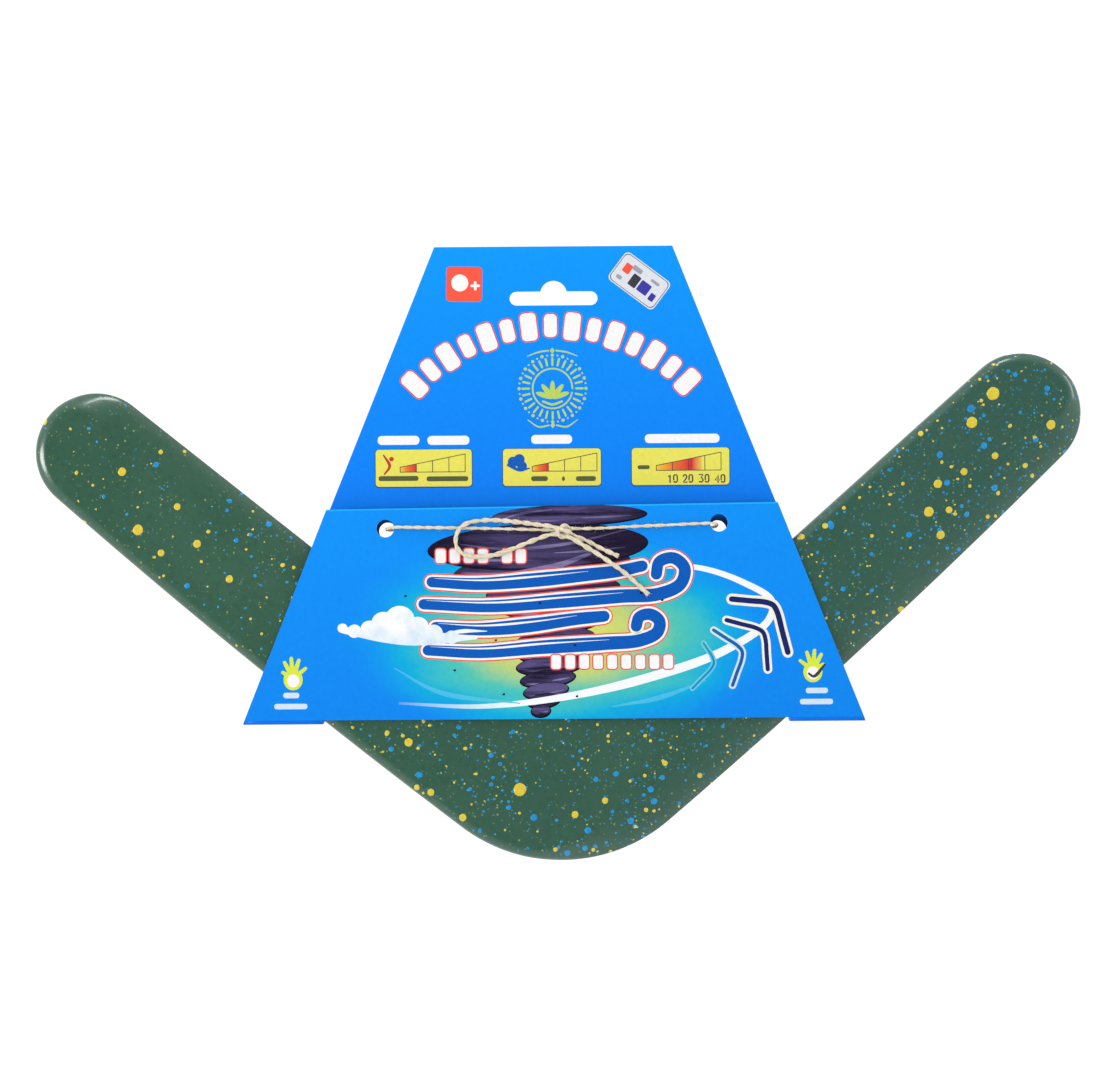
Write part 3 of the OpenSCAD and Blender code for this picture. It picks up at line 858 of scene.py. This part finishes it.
def cloud_ink(s, place):
    """White with faint shadows of its puffs, bluer underneath."""
    puffs = s.noise(160, 3, 0.5, place)
    white = s.mix(s.range(puffs, 0.45, 0.7), lit(252, 254, 255), lit(222, 236, 248))
    under = s.range(s.axis(place, "Z"), -120.2 * MM, -126.8 * MM, 0.0, 0.4)
    return s.mix(under, white, lit(160, 208, 245))


def whirl_ink(dark, light):
    """Violet with lighter streaks that run round the whirlwind."""
    def colour(s, place):
        streaks = s.noise(60, 5, 0.65, s.scaled((0.6, 1, 6), place))
        side = across(s, place, "X", -44, 34, [(0.0, dark), (0.28, light), (0.62, light),
                                               (1.0, dark)])
        return s.mix(s.range(streaks, 0.38, 0.60), dark, side)
    return colour


def gauge_ink(left, right, fade):
    """Yellow to red from left to right, fading out over the last part."""
    end, red = 1.0 - fade, lit(222, 40, 60)
    stops = [(0.0, lit(248, 205, 60)), (0.35 * end + 0.1, lit(240, 120, 50)), (end, red),
             (1.0, lit(238, 200, 90) if fade else red)]
    return lambda s, place: across(s, place, "X", left, right, stops)


def printed(name, colour):
    """An ink on coated card: slightly uneven cover, fine fibres, and a soft shine."""
    s = Shader(name)
    place = s.place()
    base = colour(s, place)
    cover = s.noise(700, 4, 0.65, place)
    fibres = s.noise(2600, 2, 0.5, place)
    base = s.mix(1.0, base, s.ramp(cover, [(0.3, (0.93, 0.93, 0.93, 1)), (0.65, (1, 1, 1, 1))]),
                 "MULTIPLY")
    waves = s.noise(26, 2, 0.5, place)
    s.bump(s.maths("ADD", s.maths("MULTIPLY", fibres, 0.03), waves), 0.10, 0.001)
    return s.finish(base, s.range(cover, 0.3, 0.7, 0.34, 0.44), Specular_IOR_Level=0.10)


def board(name, red, green, blue):
    """Bare paper board: fibres, specks and no shine."""
    s = Shader(name)
    place = s.place()
    fibres = s.noise(1500, 5, 0.7, s.scaled((1, 1, 2), place))
    specks = s.range(s.noise(900, 2, 0.5, place), 0.66, 0.72)
    base = s.mix(s.range(fibres, 0.3, 0.7), lit(red - 14, green - 14, blue - 16),
                 lit(red, green, blue))
    base = s.mix(s.maths("MULTIPLY", specks, 0.4), base, lit(190, 182, 168))
    s.bump(fibres, 0.25, 0.0002)
    return s.finish(base, 0.8, Specular_IOR_Level=0.25)


# ---------------------------------------------------------------- artwork
# Each function gives pairs of an ink and a shape in mm. A later shape lies over an earlier one.

def white_blocks(places, h, w, r):
    """A row of plain white blocks with a red line round them, in place of lettering."""
    made = []
    for x, z, turn in places:
        for ink, grow in (("red_line", 0.47), ("white", 0.0)):
            made.append((ink, rounded_box(x, z, w + 2 * grow, h + 2 * grow, r + grow, turn)))
    return made


def bars(ink, rows, h):
    """Plain bars in place of small print: left end, right end and height of each."""
    return [(ink, rounded_box((a + b) / 2, z, b - a, h, h * 0.45)) for a, b, z in rows]


def strokes(ink, *lines):
    """Smooth lines of one ink: points, width and how much they narrow at each end."""
    return [(ink, ribbon(points, width, taper)) for points, width, taper in lines]


def digits(text, cx, cz, h):
    """A number in single strokes, round a middle."""
    w, gap = h * 0.48, h * 0.30
    x = cx - (len(text) * w + (len(text) - 1) * gap) / 2
    made = []
    for mark in text:
        points = [(x + u * w, cz + (v / 2 - 0.5) * h) for u, v in DIGITS[mark]]
        made.append(("fine_line", ribbon(points, h * 0.19, smooth=False)))
        x += w + gap
    return made


def badge():
    """A red square with a dot and a plus sign."""
    x, z, long, short, r = -28.5, 4.8, 3.45, 0.94, 0.44
    return [("badge_red", rounded_box(-32.5, 5.4, 13.07, 12.71, 1.45, -1)),
            ("white", ellipse(-34.1, 5.9, 3.09)),
            ("white", rounded_box(x, z, long, short, r)),
            ("white", rounded_box(x, z, short, long, r))]


def sticker():
    """A silver sticker, turned, with plain coloured patches on a grid."""
    cx, cz, tilt, grid = 31.3, 6.2, -37, 0.36
    made = [(ink, rounded_box(cx, cz, 19.24 + grow, 11.25 + grow, 1.81, tilt))
            for ink, grow in (("silver", 1.23), ("fine_line", 0.44), ("silver", 0.0))]
    for ink, u, v, w, h in (("badge_red", -17, 3, 8, 10), ("sticker_grey", -8, 8, 11, 5),
                            ("fine_line", -4, -3, 9, 13), ("sticker_blue", 8, -3, 12, 12),
                            ("sticker_grey", 14, 8, 10, 3), ("sticker_blue", 20, -6, 6, 8),
                            ("sticker_grey", -19, -9, 6, 4)):
        x, z = turned([(u * grid, v * grid)], (cx, cz), tilt)[0]
        made.append((ink, rounded_box(x, z, w * grid, h * grid, 0.44, tilt)))
    return made


def arched_row():
    """Wide and narrow blocks in turn, in an arch."""
    centre, arch_r = np.array([-0.9, -79.2]), 69.33
    row = [(*(centre + arch_r * direction(a)), a - 90) for a in np.linspace(136, 44.5, 15)]
    return white_blocks(row[0::2], 10.16, 5.81, 1.63) + white_blocks(row[1::2], 8.35, 4.72, 1.63)


def ornament():
    """Rings of ticks and dots round a sprig of leaves, with a line above and below."""
    centre = np.array([-0.6, -32.8])
    ox, oz = centre
    ticks, dots = 28, 40
    made = []
    for k in range(ticks):
        a = k * 360 / ticks
        made.append(rounded_box(*(centre + 9.8 * direction(a)), 0.73, 3.09, 0.36, a - 90))
    for k in range(dots):
        place = centre + 12.16 * direction(k * 9)
        made.append(ellipse(*place, 0.36 if k % 2 else 0.62, count=8))
    ring = [centre + 7.26 * direction(a) for a in range(0, 360, 12)]
    made.append(ribbon(ring, 0.58, smooth=False))
    up = direction(90)
    for a in (90, 52, 128, 18, 162):
        tip, root = centre + -2.9 * up + 6.17 * direction(a), centre + -3.99 * up
        made.append(ellipse(*((tip + root) / 2), 3.27, 0.94, a, 14))
    made.append(ribbon([(-4.1, -37.5), (-0.6, -38.6), (2.8, -37.5)], 0.8))
    for z in (-19, -46.2):
        made.append(ellipse(ox, z, 0.87, 1.09, 0, 4))
        for side in (-1, 1):
            line = [(ox + side * 1.45, z), (ox + side * 5.08, z - 0.54),
                    (ox + side * 9.07, z - 2 * np.sign(z - oz))]
            made.append(ribbon(line, 0.58, (1, 0.5)))
    return [("ornament", shape) for shape in made]


def gauge(panel_left, panel_right, left, right, fill, filled_cells):
    """A yellow panel with a rising row of four cells, the first of them filled."""
    panel_foot, panel_top, foot, low, high = -68.2, -54.7, -62.9, -61.1, -56.4
    cx, cz = (panel_left + panel_right) / 2, (panel_foot + panel_top) / 2
    w, h = panel_right - panel_left, panel_top - panel_foot
    end = left + (right - left) * filled_cells / 4

    def top(x):
        return low + (high - low) * (x - left) / (right - left)

    made = [("panel_edge", rounded_box(cx, cz - 0.15, w + 0.7, h + 0.7, 1.5)),
            ("panel_yellow", rounded_box(cx, cz, w, h, 1.2)),
            (fill, [(left, foot), (end, foot), (end, top(end)), (left, top(left))])]
    lines = [[(x, foot), (x, top(x))] for x in np.linspace(left, right, 5)]
    lines += [[(left, foot), (right, foot)], [(left, low), (right, high)]]
    return made + [("fine_line", ribbon(line, 0.28, smooth=False)) for line in lines]


def gauges():
    """The row of headings and gauges, each with its sign, scale and captions."""
    made = bars("white", [(-64.4, -49.2, -51.3), (-46.3, -31, -51.4), (-8.5, 6.4, -51.3),
                          (32.9, 60.1, -51.3)], 3.27)
    made += gauge(-65.2, -30.2, -56.3, -32.6, "gauge_left", 1)
    made += gauge(-18.8, 16.8, -8.2, 15.4, "gauge_middle", 1)
    made += gauge(28.1, 63.6, 37, 60.6, "gauge_right", 2.8)
    made += strokes("icon_red", ([(-62.3, -56.7), (-60.1, -60.7), (-62, -63.6)], 1.16, (0.5, 0.5)))
    made += [("icon_red", ellipse(-59.4, -58.1, 0.87, count=10)),
             ("icon_blue", ellipse(-15.1, -59.5, 2)), ("icon_blue", ellipse(-12.9, -58.6, 2)),
             ("icon_blue", ellipse(-11.9, -61, 1.81))]
    made += strokes("icon_blue", ([(-16.9, -60.6), (-12.6, -62.5), (-9.3, -61.8)], 1.09, (1, 0.5)))
    made += bars("caption", [(-64.2, -49.6, -65.2), (-46.7, -31.5, -65.4), (-8.6, -2.5, -65.6),
                             (7.7, 15, -65.7), (2.6, 3.7, -65.7)], 1.81)
    made += bars("caption", [(30.2, 34.6, -61.7)], 1.45)
    for text, x, z in (("10", 42.9, -65.9), ("20", 48.5, -65.9), ("30", 54.4, -65.9),
                       ("40", 60.2, -66)):
        made += digits(text, x, z, 2.69)
    return made


def header_art():
    """What is printed on the back panel, from the header down."""
    return badge() + sticker() + arched_row() + ornament() + gauges()


# The whirlwind's rings from its top: x, z, half width, half height and tilt in degrees.
WHIRL_RINGS = (
    (-4.9, -98.1, 31.94, 6.9, 5), (-6.3, -90.1, 39.57, 7.99, 2), (5.4, -78.9, 27.59, 3.45, 1),
    (-0.9, -106.1, 23.96, 4.72, 4), (0.1, -111.9, 19.24, 3.99, 4), (0.5, -117.7, 15.97, 3.63, 4),
    (0, -123.5, 13.79, 3.63, 5), (-0.7, -128.6, 12.71, 3.45, 5), (-2.2, -133.3, 11.98, 3.27, 4),
    (-3, -138, 9.8, 2.9, 6), (-3.7, -142.4, 7.99, 2.72, 7), (-4.5, -146, 5.81, 2.36, 8),
    (-5.6, -149.6, 3.27, 2, 4),
)


def whirlwind():
    """A stack of tilted, flattened rings that narrows to its foot, with lighter sweeps."""
    made = []
    for k, (x, z, rx, rz, tilt) in enumerate(WHIRL_RINGS):
        made += [("whirl_line", ellipse(x, z - 0.3, rx + 0.5, rz + 0.5, tilt, 48)),
                 ("whirl_a" if k % 2 else "whirl_b", ellipse(x, z, rx, rz, tilt, 48))]
        for sign, share in ((-1, 0.62), (1, 0.35)):
            line = [turned([(rx * u, -rz * math.sqrt(1 - u * u) * share)], (x, z), tilt)[0]
                    for u in np.linspace(0.15, 0.80, 7) * sign]
            made += strokes("whirl_light", (line, min(1.0, rz * 0.22), (0.2, 0.2)))
    thin = (0.15, 0.25)
    return made + strokes(
        "whirl_light",
        ([(-33.9, -99.7), (-17.9, -100.5), (0.2, -97.4), (18.4, -90.6)], 2.54, thin),
        ([(-37.5, -88.8), (-20.1, -91.1), (1.7, -89.8), (25.7, -84.5)], 1.27, thin),
        ([(-20.7, -80.9), (-12.7, -78.4), (-1.1, -77.1)], 0.94, thin),
        ([(-7.2, -127.1), (0, -127.2), (7.3, -125.4)], 0.87, thin),
        ([(-10.3, -146), (-4.1, -145.7), (1.4, -143.5)], 1.45, thin))


def bent(points, r):
    """Two straight arms with the corner between them rounded off."""
    a, b, c = (np.array(p, float) for p in points)
    start, stop = b + unit(a - b) * r, b + unit(c - b) * r
    middle = (start + 2 * b + stop) / 4
    return [a, (a + start) / 2, start, middle, stop, (stop + c) / 2, c]


def flight_path():
    """The path out, round and back, with four arrowheads that fade in along it."""
    path = [(36.2, -97.6), (52.5, -98.5), (67.7, -103.7), (78.2, -110.6), (77, -117.5),
            (60.3, -128.7), (31.2, -138.6), (1.7, -145), (-27.4, -148), (-56.7, -146.7)]
    made = strokes("flight_arc", (path, 3.27, (0.5, 0.25)))
    made += strokes("streak",
                    ([(-58.5, -134), (-42.2, -142.8), (-13.2, -147)], 1.81, (0.2, 0.2)),
                    ([(20.2, -148.4), (37.6, -145.2), (54, -139.2)], 1.81, (0.2, 0.2)))
    for points, width, rim, fill in (
            (((53.4, -125.7), (58.1, -133), (49.3, -142)), 1.27, "ghost_teal", "ghost_blue"),
            (((57.1, -121), (68.3, -128.4), (63.8, -141)), 2, "ghost_white", "ghost_navy"),
            (((61.8, -117.4), (75.6, -121.2), (76.6, -135.3)), 2.54, "cream", "navy"),
            (((63.7, -109.8), (79.3, -111.4), (83.9, -129.2)), 3.27, "cream", "navy")):
        line = bent(points, 3.27)
        made += [(rim, ribbon(line, width + 0.73)), (fill, ribbon(line, width * 0.62))]
    return made


# Wind: four long streaks, two of them curled at their ends, where the photo has lettering.
CURLS = (
    [(-44.8, -102.9), (-27.4, -103.7), (-7.4, -102.4), (10.7, -100.7), (22.7, -99.4),
     (31.4, -97.6)],
    [(-47.8, -110.9), (-23.8, -111.8), (1.6, -110.1), (23.4, -108.5), (37.2, -107.8),
     (45.2, -104.2), (46.7, -98.4), (42.7, -94.8), (37.6, -96.2), (36.5, -100.6)],
    [(-43.5, -119.2), (-27.5, -120.1), (-9.4, -118.8), (6.6, -116.7), (17.5, -115.7)],
    [(-46.4, -127.6), (-27.6, -128.4), (-5.8, -126.8), (18.2, -125.5), (30.5, -124.5),
     (36.7, -121.6), (37.5, -117.6), (34.2, -115.1), (30.2, -116.1), (29.1, -119.4)],
)


def wind():
    """The streaks with their red and white outlines and a line of shine, and two rows of blocks."""
    made = []
    for ink, grow in (("red_line", 1.23), ("white", 0.76), ("swoosh_blue", 0.0)):
        made += [(ink, ribbon(line, 5.08, (0.75, 0.8), grow=grow)) for line in CURLS]
    for line in CURLS:
        shine = [np.array(p) + (1.09, 1.31) for p in line[:4]]
        made += strokes("white", (shine, 0.8, (0.1, 0.1)))
    above = ((-41.5, -93.5), (-36.4, -93.5), (-31.3, -93.5), (-26.2, -93.6), (-17.5, -93.6),
             (-12.5, -93.7))
    below = ((-0, -132.1), (5.1, -132.1), (10.2, -132.1), (15.2, -132.2), (20.3, -132.2),
             (25.4, -132.2), (30.5, -132.3), (35.6, -132.3), (40.6, -132.3))
    made += white_blocks([(x, z, 0) for x, z in above], 5.08, 3.63, 0.91)
    return made + white_blocks([(x, z, 0) for x, z in below], 5.08, 3.45, 0.91)


def cloud():
    """Eight puffs on a long drawn-out foot, in front of the whirlwind."""
    puffs = ((-77.2, -119.4, 1.81), (-72.9, -120.5, 2.54), (-67.4, -119.8, 3.27),
             (-62.4, -117.7, 4.36), (-56.5, -116.6, 5.45), (-50, -119.2, 3.99),
             (-44.2, -121.4, 3.27), (-37.7, -122.9, 2.54))
    made = [("cloud", ellipse(x, z, r, r * 0.95)) for x, z, r in puffs]
    return made + strokes(
        "cloud", ([(-76.9, -120.1), (-62, -122.7), (-45.7, -123.6), (-29, -123)], 4.72, (0.5, 0.3)),
        ([(-42.1, -122.5), (-34.1, -120.8), (-25, -120.8)], 1.45, (0.8, 0.2)))


def hand(cx, cz, side):
    """An open hand: five spread fingers round a palm, with a white middle."""
    grid = 0.36
    made = []
    for a, reach, w in ((150, 12, 4.2), (118, 18, 4.4), (95, 20, 4.4), (72, 19, 4.4),
                        (38, 16, 4.0)):
        tip = np.array([cx, cz]) + reach * grid * direction(180 - a if side > 0 else a)
        made.append(("hand_green", ribbon([(cx, cz), tip], w * grid, (1.3, 0.8), smooth=False)))
    made.append(("hand_green", ellipse(cx, cz - 0.54, 3.45, 3.81)))
    made.append(("white", ellipse(cx, cz - 0.91, 2.18, 2.36)))
    return made


def flap_art():
    """What is printed on the flap, with a painted highlight along its upper edge: a pale line where
    the lit cut edge shines.
    """
    left, right, rim = flap_corner(-1), flap_corner(1), (0, 0.55)
    # painted highlight: a pale strip along the flap's top edge, standing in for its lit cut edge
    art = [("flap_rim", [left, right, right - rim, left - rim])]
    art += whirlwind() + flight_path() + wind() + cloud()
    art += [("debris", ellipse(x, z, 0.55, 0.4, 20, 7))
            for x, z in ((-54.3, -107.9), (-36.7, -134.9), (-19, -143.7), (2.5, -87.3),
                         (7.5, -144.6), (31, -107.4), (38.6, -110), (-5.7, -110.8),
                         (6.9, -126.1), (-21.7, -124.1))]
    art += hand(-95.2, -137.4, -1) + hand(92.9, -135.8, 1)
    art += strokes("fine_line", ([(91.4, -136.9), (93.2, -138), (97.3, -133.7)], 1.23, (0.6, 0.6)))
    return art + bars("ghost_white", [(-98.8, -93, -143.6), (-102.1, -90.1, -147.6),
                                      (90.3, 98.3, -143.1), (88.1, 100.1, -147.1)], 2)


FLAT_INKS = {
    "white": (250, 250, 250), "red_line": (246, 88, 74), "badge_red": (252, 92, 70),
    "silver": (226, 229, 236), "fine_line": (62, 66, 74), "sticker_grey": (160, 165, 178),
    "sticker_blue": (64, 62, 170), "ornament": (190, 216, 96), "panel_edge": (40, 92, 150),
    "panel_yellow": (238, 231, 98), "icon_red": (190, 70, 50), "icon_blue": (20, 96, 190),
    "caption": (92, 100, 66), "hand_green": (222, 236, 64), "flap_rim": (30, 178, 255),
    "whirl_line": (24, 18, 40), "swoosh_blue": (0, 92, 190), "cream": (250, 244, 224),
    "navy": (20, 38, 110), "debris": (22, 20, 40),
}
INKS = {
    **{name: flat_ink(*colour) for name, colour in FLAT_INKS.items()},
    "gauge_left": gauge_ink(-56.3, -50.3, 0.0), "gauge_middle": gauge_ink(-8.2, -2.4, 0.0),
    "gauge_right": gauge_ink(37, 53.5, 0.22),
    "whirl_a": whirl_ink(lit(30, 22, 50), lit(76, 66, 112)),
    "whirl_b": whirl_ink(lit(34, 26, 56), lit(94, 84, 136)),
    "whirl_light": whirl_ink(lit(74, 66, 108), lit(136, 128, 174)),
    "cloud": cloud_ink, "flight_arc": return_arc_ink,
    "streak": ghost_ink(0.35, 120, 215, 250), "ghost_white": ghost_ink(0.8, 235, 246, 252),
    "ghost_navy": ghost_ink(0.75, 20, 60, 140), "ghost_teal": ghost_ink(0.35, 180, 235, 240),
    "ghost_blue": ghost_ink(0.45, 0, 90, 170),
}


# ---------------------------------------------------------------- card

# The card's inside lies on FOLD_Z at the bottom, and the panels' own pieces end at PANEL_FOOT.
CARD_T, FOLD_Z, SLIT_HALF, PANEL_FOOT = 0.5, -153.7, 84.5, -152.7
FOLD_R = 1.2                         # the outer radius of the fold's two corners
BACK_Y, FLAP_Y = -0.25, -7.45        # the printed faces of the back panel and of the flap
HEADER_HALF, HEADER_TOP, FOLD_LEFT, FOLD_RIGHT = 43.4, 19.0, -113.4, 111.8
FLAP_TOP, FLAP_TOP_HALF, FLAP_SHIFT, FLAP_TURN = -75.6, 81.7, -1.1, math.radians(0.6)
HOLE_R = 6.35 / 2
BACK_HOLES = ((-60.9, -84.4), (59.1, -84.4))
FLAP_HOLES = ((-61.5, -83.43), (59.3, -82.17))
SLOT_REACH, SLOT_R, HUMP_Z, HUMP_R = 13.5, 2.5, 1.55, 4.85     # the peg slot and its round hump
BACK_DIP, FLAP_DIP, DIP_AREA = 0.2, 0.28, 60    # how far the twine pulls the card in, in mm
SLIT_LIFT, LIFT_REACH = 0.8, 10      # how far the elbow holds the slit's edge off the board
GRID = 4.0                           # the mesh's width where nothing is printed


def flap_corner(side):
    """The flap's upper corner on the left, -1, or the right, 1. The flap sits a little turned."""
    x = side * FLAP_TOP_HALF
    return np.array([x + FLAP_SHIFT, FLAP_TOP + x * math.sin(FLAP_TURN)])


def fold_end(side):
    """The card's lower left corner, for -1, or its lower right one, for 1."""
    return FOLD_RIGHT if side > 0 else FOLD_LEFT


def at_foot(top, side):
    """Where a side edge, from its top corner to the fold's end, passes the panel's foot."""
    end = np.array([fold_end(side), FOLD_Z])
    return end + (top - end) * (PANEL_FOOT - FOLD_Z) / (top[1] - FOLD_Z)


def panel_outline(left, right):
    """A panel from its two top corners down to where the fold begins."""
    return np.array([at_foot(left, -1), at_foot(right, 1), right, left])


def peg_slot():
    """The hanging slot: its right end, the round hump over the middle and its left end."""
    right, left = ([np.array([side * SLOT_REACH, 0]) + SLOT_R * direction(a)
                    for a in first + np.arange(0, 181, 15)] for side, first in ((1, -90), (-1, 90)))
    hump = [np.array([0, HUMP_Z]) + HUMP_R * direction(a) for a in np.arange(12, 169, 12)]
    return np.array(right + hump + left)


def dips(x, z, holes, depth):
    """How far the twine pulls the card in round its holes."""
    return sum(depth * np.exp(-((x - hx) ** 2 + (z - hz) ** 2) / DIP_AREA) for hx, hz in holes)


def back_shape(x, z):
    """How far the back panel leaves its plane: curled at the header's corners, dipped at holes."""
    curl = 0.35 * smooth_step((z + 40) / 60) * (x / 43) ** 2
    return curl - dips(x, z, BACK_HOLES, BACK_DIP)


def flap_shape(x, z):
    """How far the flap leaves its plane: its top stands off, and the elbow lifts the slit."""
    lift = -0.22 * smooth_step((z + 95) / 20) * (1 - (x / 90) ** 2)
    along_slit = np.clip(1 - (x / SLIT_HALF) ** 2, 0, 1)
    bulge = -SLIT_LIFT * along_slit * np.exp((PANEL_FOOT - z) / LIFT_REACH)
    return lift + bulge + dips(x, z, FLAP_HOLES, FLAP_DIP)


def cut_sheet(edge, holes, art):
    """A flat sheet with every printed shape cut into it: points, triangles, ink names and the
    ink of each triangle, counted from 1, which is that of the topmost shape on it."""
    points, lines = [], []
    for polygon in [edge, *holes, *[np.asarray(shape, float) for ink, shape in art]]:
        first, count = len(points), len(polygon)
        points += [Vector(p) for p in np.asarray(polygon).tolist()]
        lines += [(first + i, first + (i + 1) % count) for i in range(count)]
    low, high = edge.min(axis=0), edge.max(axis=0)
    grid = np.array([(x, z) for x in np.arange(low[0], high[0], GRID)
                     for z in np.arange(low[1], high[1], GRID)])
    points += [Vector(p) for p in grid[in_polygon(edge, grid)].tolist()]
    verts, _, tris, *_ = delaunay_2d_cdt(points, lines, [], 0, 1e-4, False)
    flat, tris = np.array([tuple(v) for v in verts]), np.array(tris)
    middle = flat[tris].mean(axis=1)
    keep = in_polygon(edge, middle)
    for hole in holes:
        keep &= ~in_polygon(hole, middle)
    tris, middle = tris[keep], middle[keep]
    inks = sorted({ink for ink, shape in art})
    marks = np.zeros(len(tris), int)
    for ink, shape in art:
        shape = np.asarray(shape, float)
        low, high = shape.min(axis=0), shape.max(axis=0)
        near = np.flatnonzero(np.all((middle > low) & (middle < high), axis=1))
        marks[near[in_polygon(shape, middle[near])]] = 1 + inks.index(ink)
    a, b, c = (flat[tris[:, k]] for k in range(3))
    area = (b[:, 0] - a[:, 0]) * (c[:, 1] - a[:, 1]) - (c[:, 0] - a[:, 0]) * (b[:, 1] - a[:, 1])
    tris[area < 0] = tris[area < 0][:, ::-1]
    used = np.unique(tris)
    again = np.full(len(flat), -1)
    again[used] = np.arange(len(used))
    return flat[used], again[tris], inks, marks


def printed_sheet(name, edge, holes, art, face_y, shape, ground, rear, *nodes):
    """A panel of card in the XZ plane: print in front, rear behind and board round the rim."""
    flat, tris, inks, marks = cut_sheet(edge, holes, art)
    y = face_y + shape(flat[:, 0], flat[:, 1])
    front = np.column_stack([flat[:, 0], y, flat[:, 1]])
    verts = np.vstack([front, front + (0, CARD_T, 0)])
    sides = dict.fromkeys((p, q) for a, b, c in tris.tolist() for p, q in ((a, b), (b, c), (c, a)))
    rim = [(p, q) for p, q in sides if (q, p) not in sides]
    n = len(flat)
    faces = tris.tolist() + (tris[:, ::-1] + n).tolist() + [(q, p, p + n, q + n) for p, q in rim]
    rear_mark = len(inks) + 1
    marks = np.concatenate([marks, np.full(len(tris), rear_mark), np.full(len(rim), rear_mark + 1)])
    materials = [printed(name + "_ground", ground)]
    materials += [printed("ink_" + ink, INKS[ink]) for ink in inks]
    materials += [rear, board("cut_edge_of_" + name, *CUT_EDGE)]
    piece = make_mesh(name, verts, faces, materials, marks, smooth=False)
    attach(piece, "card")
    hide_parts(*nodes)


def fold_section():
    """The fold's outer and inner line, as y and z, from the back panel down and up to the flap."""
    low = FOLD_Z - CARD_T + FOLD_R
    rear, front = BACK_Y + CARD_T - FOLD_R, FLAP_Y + FOLD_R
    turn = np.radians(np.arange(0, 91, 15))
    outer = [(BACK_Y + CARD_T, PANEL_FOOT)]
    outer += [(rear + FOLD_R * math.cos(a), low - FOLD_R * math.sin(a)) for a in turn]
    outer += [(front - FOLD_R * math.sin(a), low - FOLD_R * math.cos(a)) for a in turn]
    outer = np.array(outer + [(FLAP_Y, PANEL_FOOT)])
    tangent = unit(np.gradient(outer, axis=0))
    inner = outer + CARD_T * np.column_stack([tangent[:, 1], -tangent[:, 0]])
    inner[0], inner[-1] = (BACK_Y, PANEL_FOOT), (FLAP_Y + CARD_T, PANEL_FOOT)
    return outer, inner


def fold_rows(side, steps):
    """Rows of points across the strip, along its outer line and back along the inner one."""
    near = side * SLIT_HALF
    back = at_foot(np.array([side * HEADER_HALF, HEADER_TOP]), side)[0]
    flap = at_foot(flap_corner(side), side)[0]
    outer, inner = fold_section()
    rows = []
    for y, z in (*outer, *inner[::-1]):
        share = (BACK_Y - y) / (BACK_Y - FLAP_Y)
        top = back + (flap - back) * min(1, max(0, share))
        down = smooth_step((PANEL_FOOT - z) / FOLD_R)
        far = top + (fold_end(side) - top) * down
        rows.append([(near + (far - near) * k / steps, y, z) for k in range(steps + 1)])
    return rows


def make_fold(side, node, outside, inside):
    """The strip of card under an arm, which turns up into both panels on round corners."""
    steps = 5
    rows = fold_rows(side, steps)
    count, half, wide = len(rows), len(rows) // 2, steps + 1
    faces, marks = [], []
    for i in (*range(half - 1), *range(half, count - 1)):
        a, b = i * wide, (i + 1) * wide
        faces += [(a + k, b + k, b + k + 1, a + k + 1) for k in range(steps)]
        marks += [0 if i < half else 1] * steps
    for i in range(half - 1):
        outer, inner = i * wide, (count - 1 - i) * wide
        quad = (outer, inner, inner - wide, outer + wide)
        faces += [quad, tuple(corner + steps for corner in quad[::-1])]
        marks += [2, 2]
    for outer, inner in ((0, (count - 1) * wide), ((half - 1) * wide, half * wide)):
        for k in range(steps):
            quad = (outer + k, outer + k + 1, inner + k + 1, inner + k)
            faces.append(quad if outer else quad[::-1])
            marks.append(2)
    if side < 0:
        faces = [f[::-1] for f in faces]
    piece = make_mesh("printed_" + node, np.array(rows).reshape(-1, 3), faces,
                      [outside, inside, board("cut_edge_of_" + node, *CUT_EDGE)], marks)
    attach(piece, "card")
    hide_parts(node)


def round_holes(places):
    """The punched holes for the twine."""
    return [ellipse(x, z, HOLE_R, count=40) for x, z in places]


def make_card():
    rear = printed("rear_print", header_blue_rear)
    bare = board("bare_board", 232, 232, 226)
    top = (np.array([-HEADER_HALF, HEADER_TOP]), np.array([HEADER_HALF, HEADER_TOP]))
    printed_sheet("printed_back_panel", panel_outline(*top), [peg_slot()] + round_holes(BACK_HOLES),
                  header_art(), BACK_Y, back_shape, header_blue, rear, "card_back_panel")
    printed_sheet("printed_front_flap", panel_outline(flap_corner(-1), flap_corner(1)),
                  round_holes(FLAP_HOLES), flap_art(), FLAP_Y, flap_shape, flap_blue, bare,
                  "card_front_flap")
    for side, node in ((-1, "card_fold_left"), (1, "card_fold_right")):
        make_fold(side, node, rear, bare)


edge, half = outline()
make_twine()
make_body(edge, half)
make_splatter(edge)
make_card()
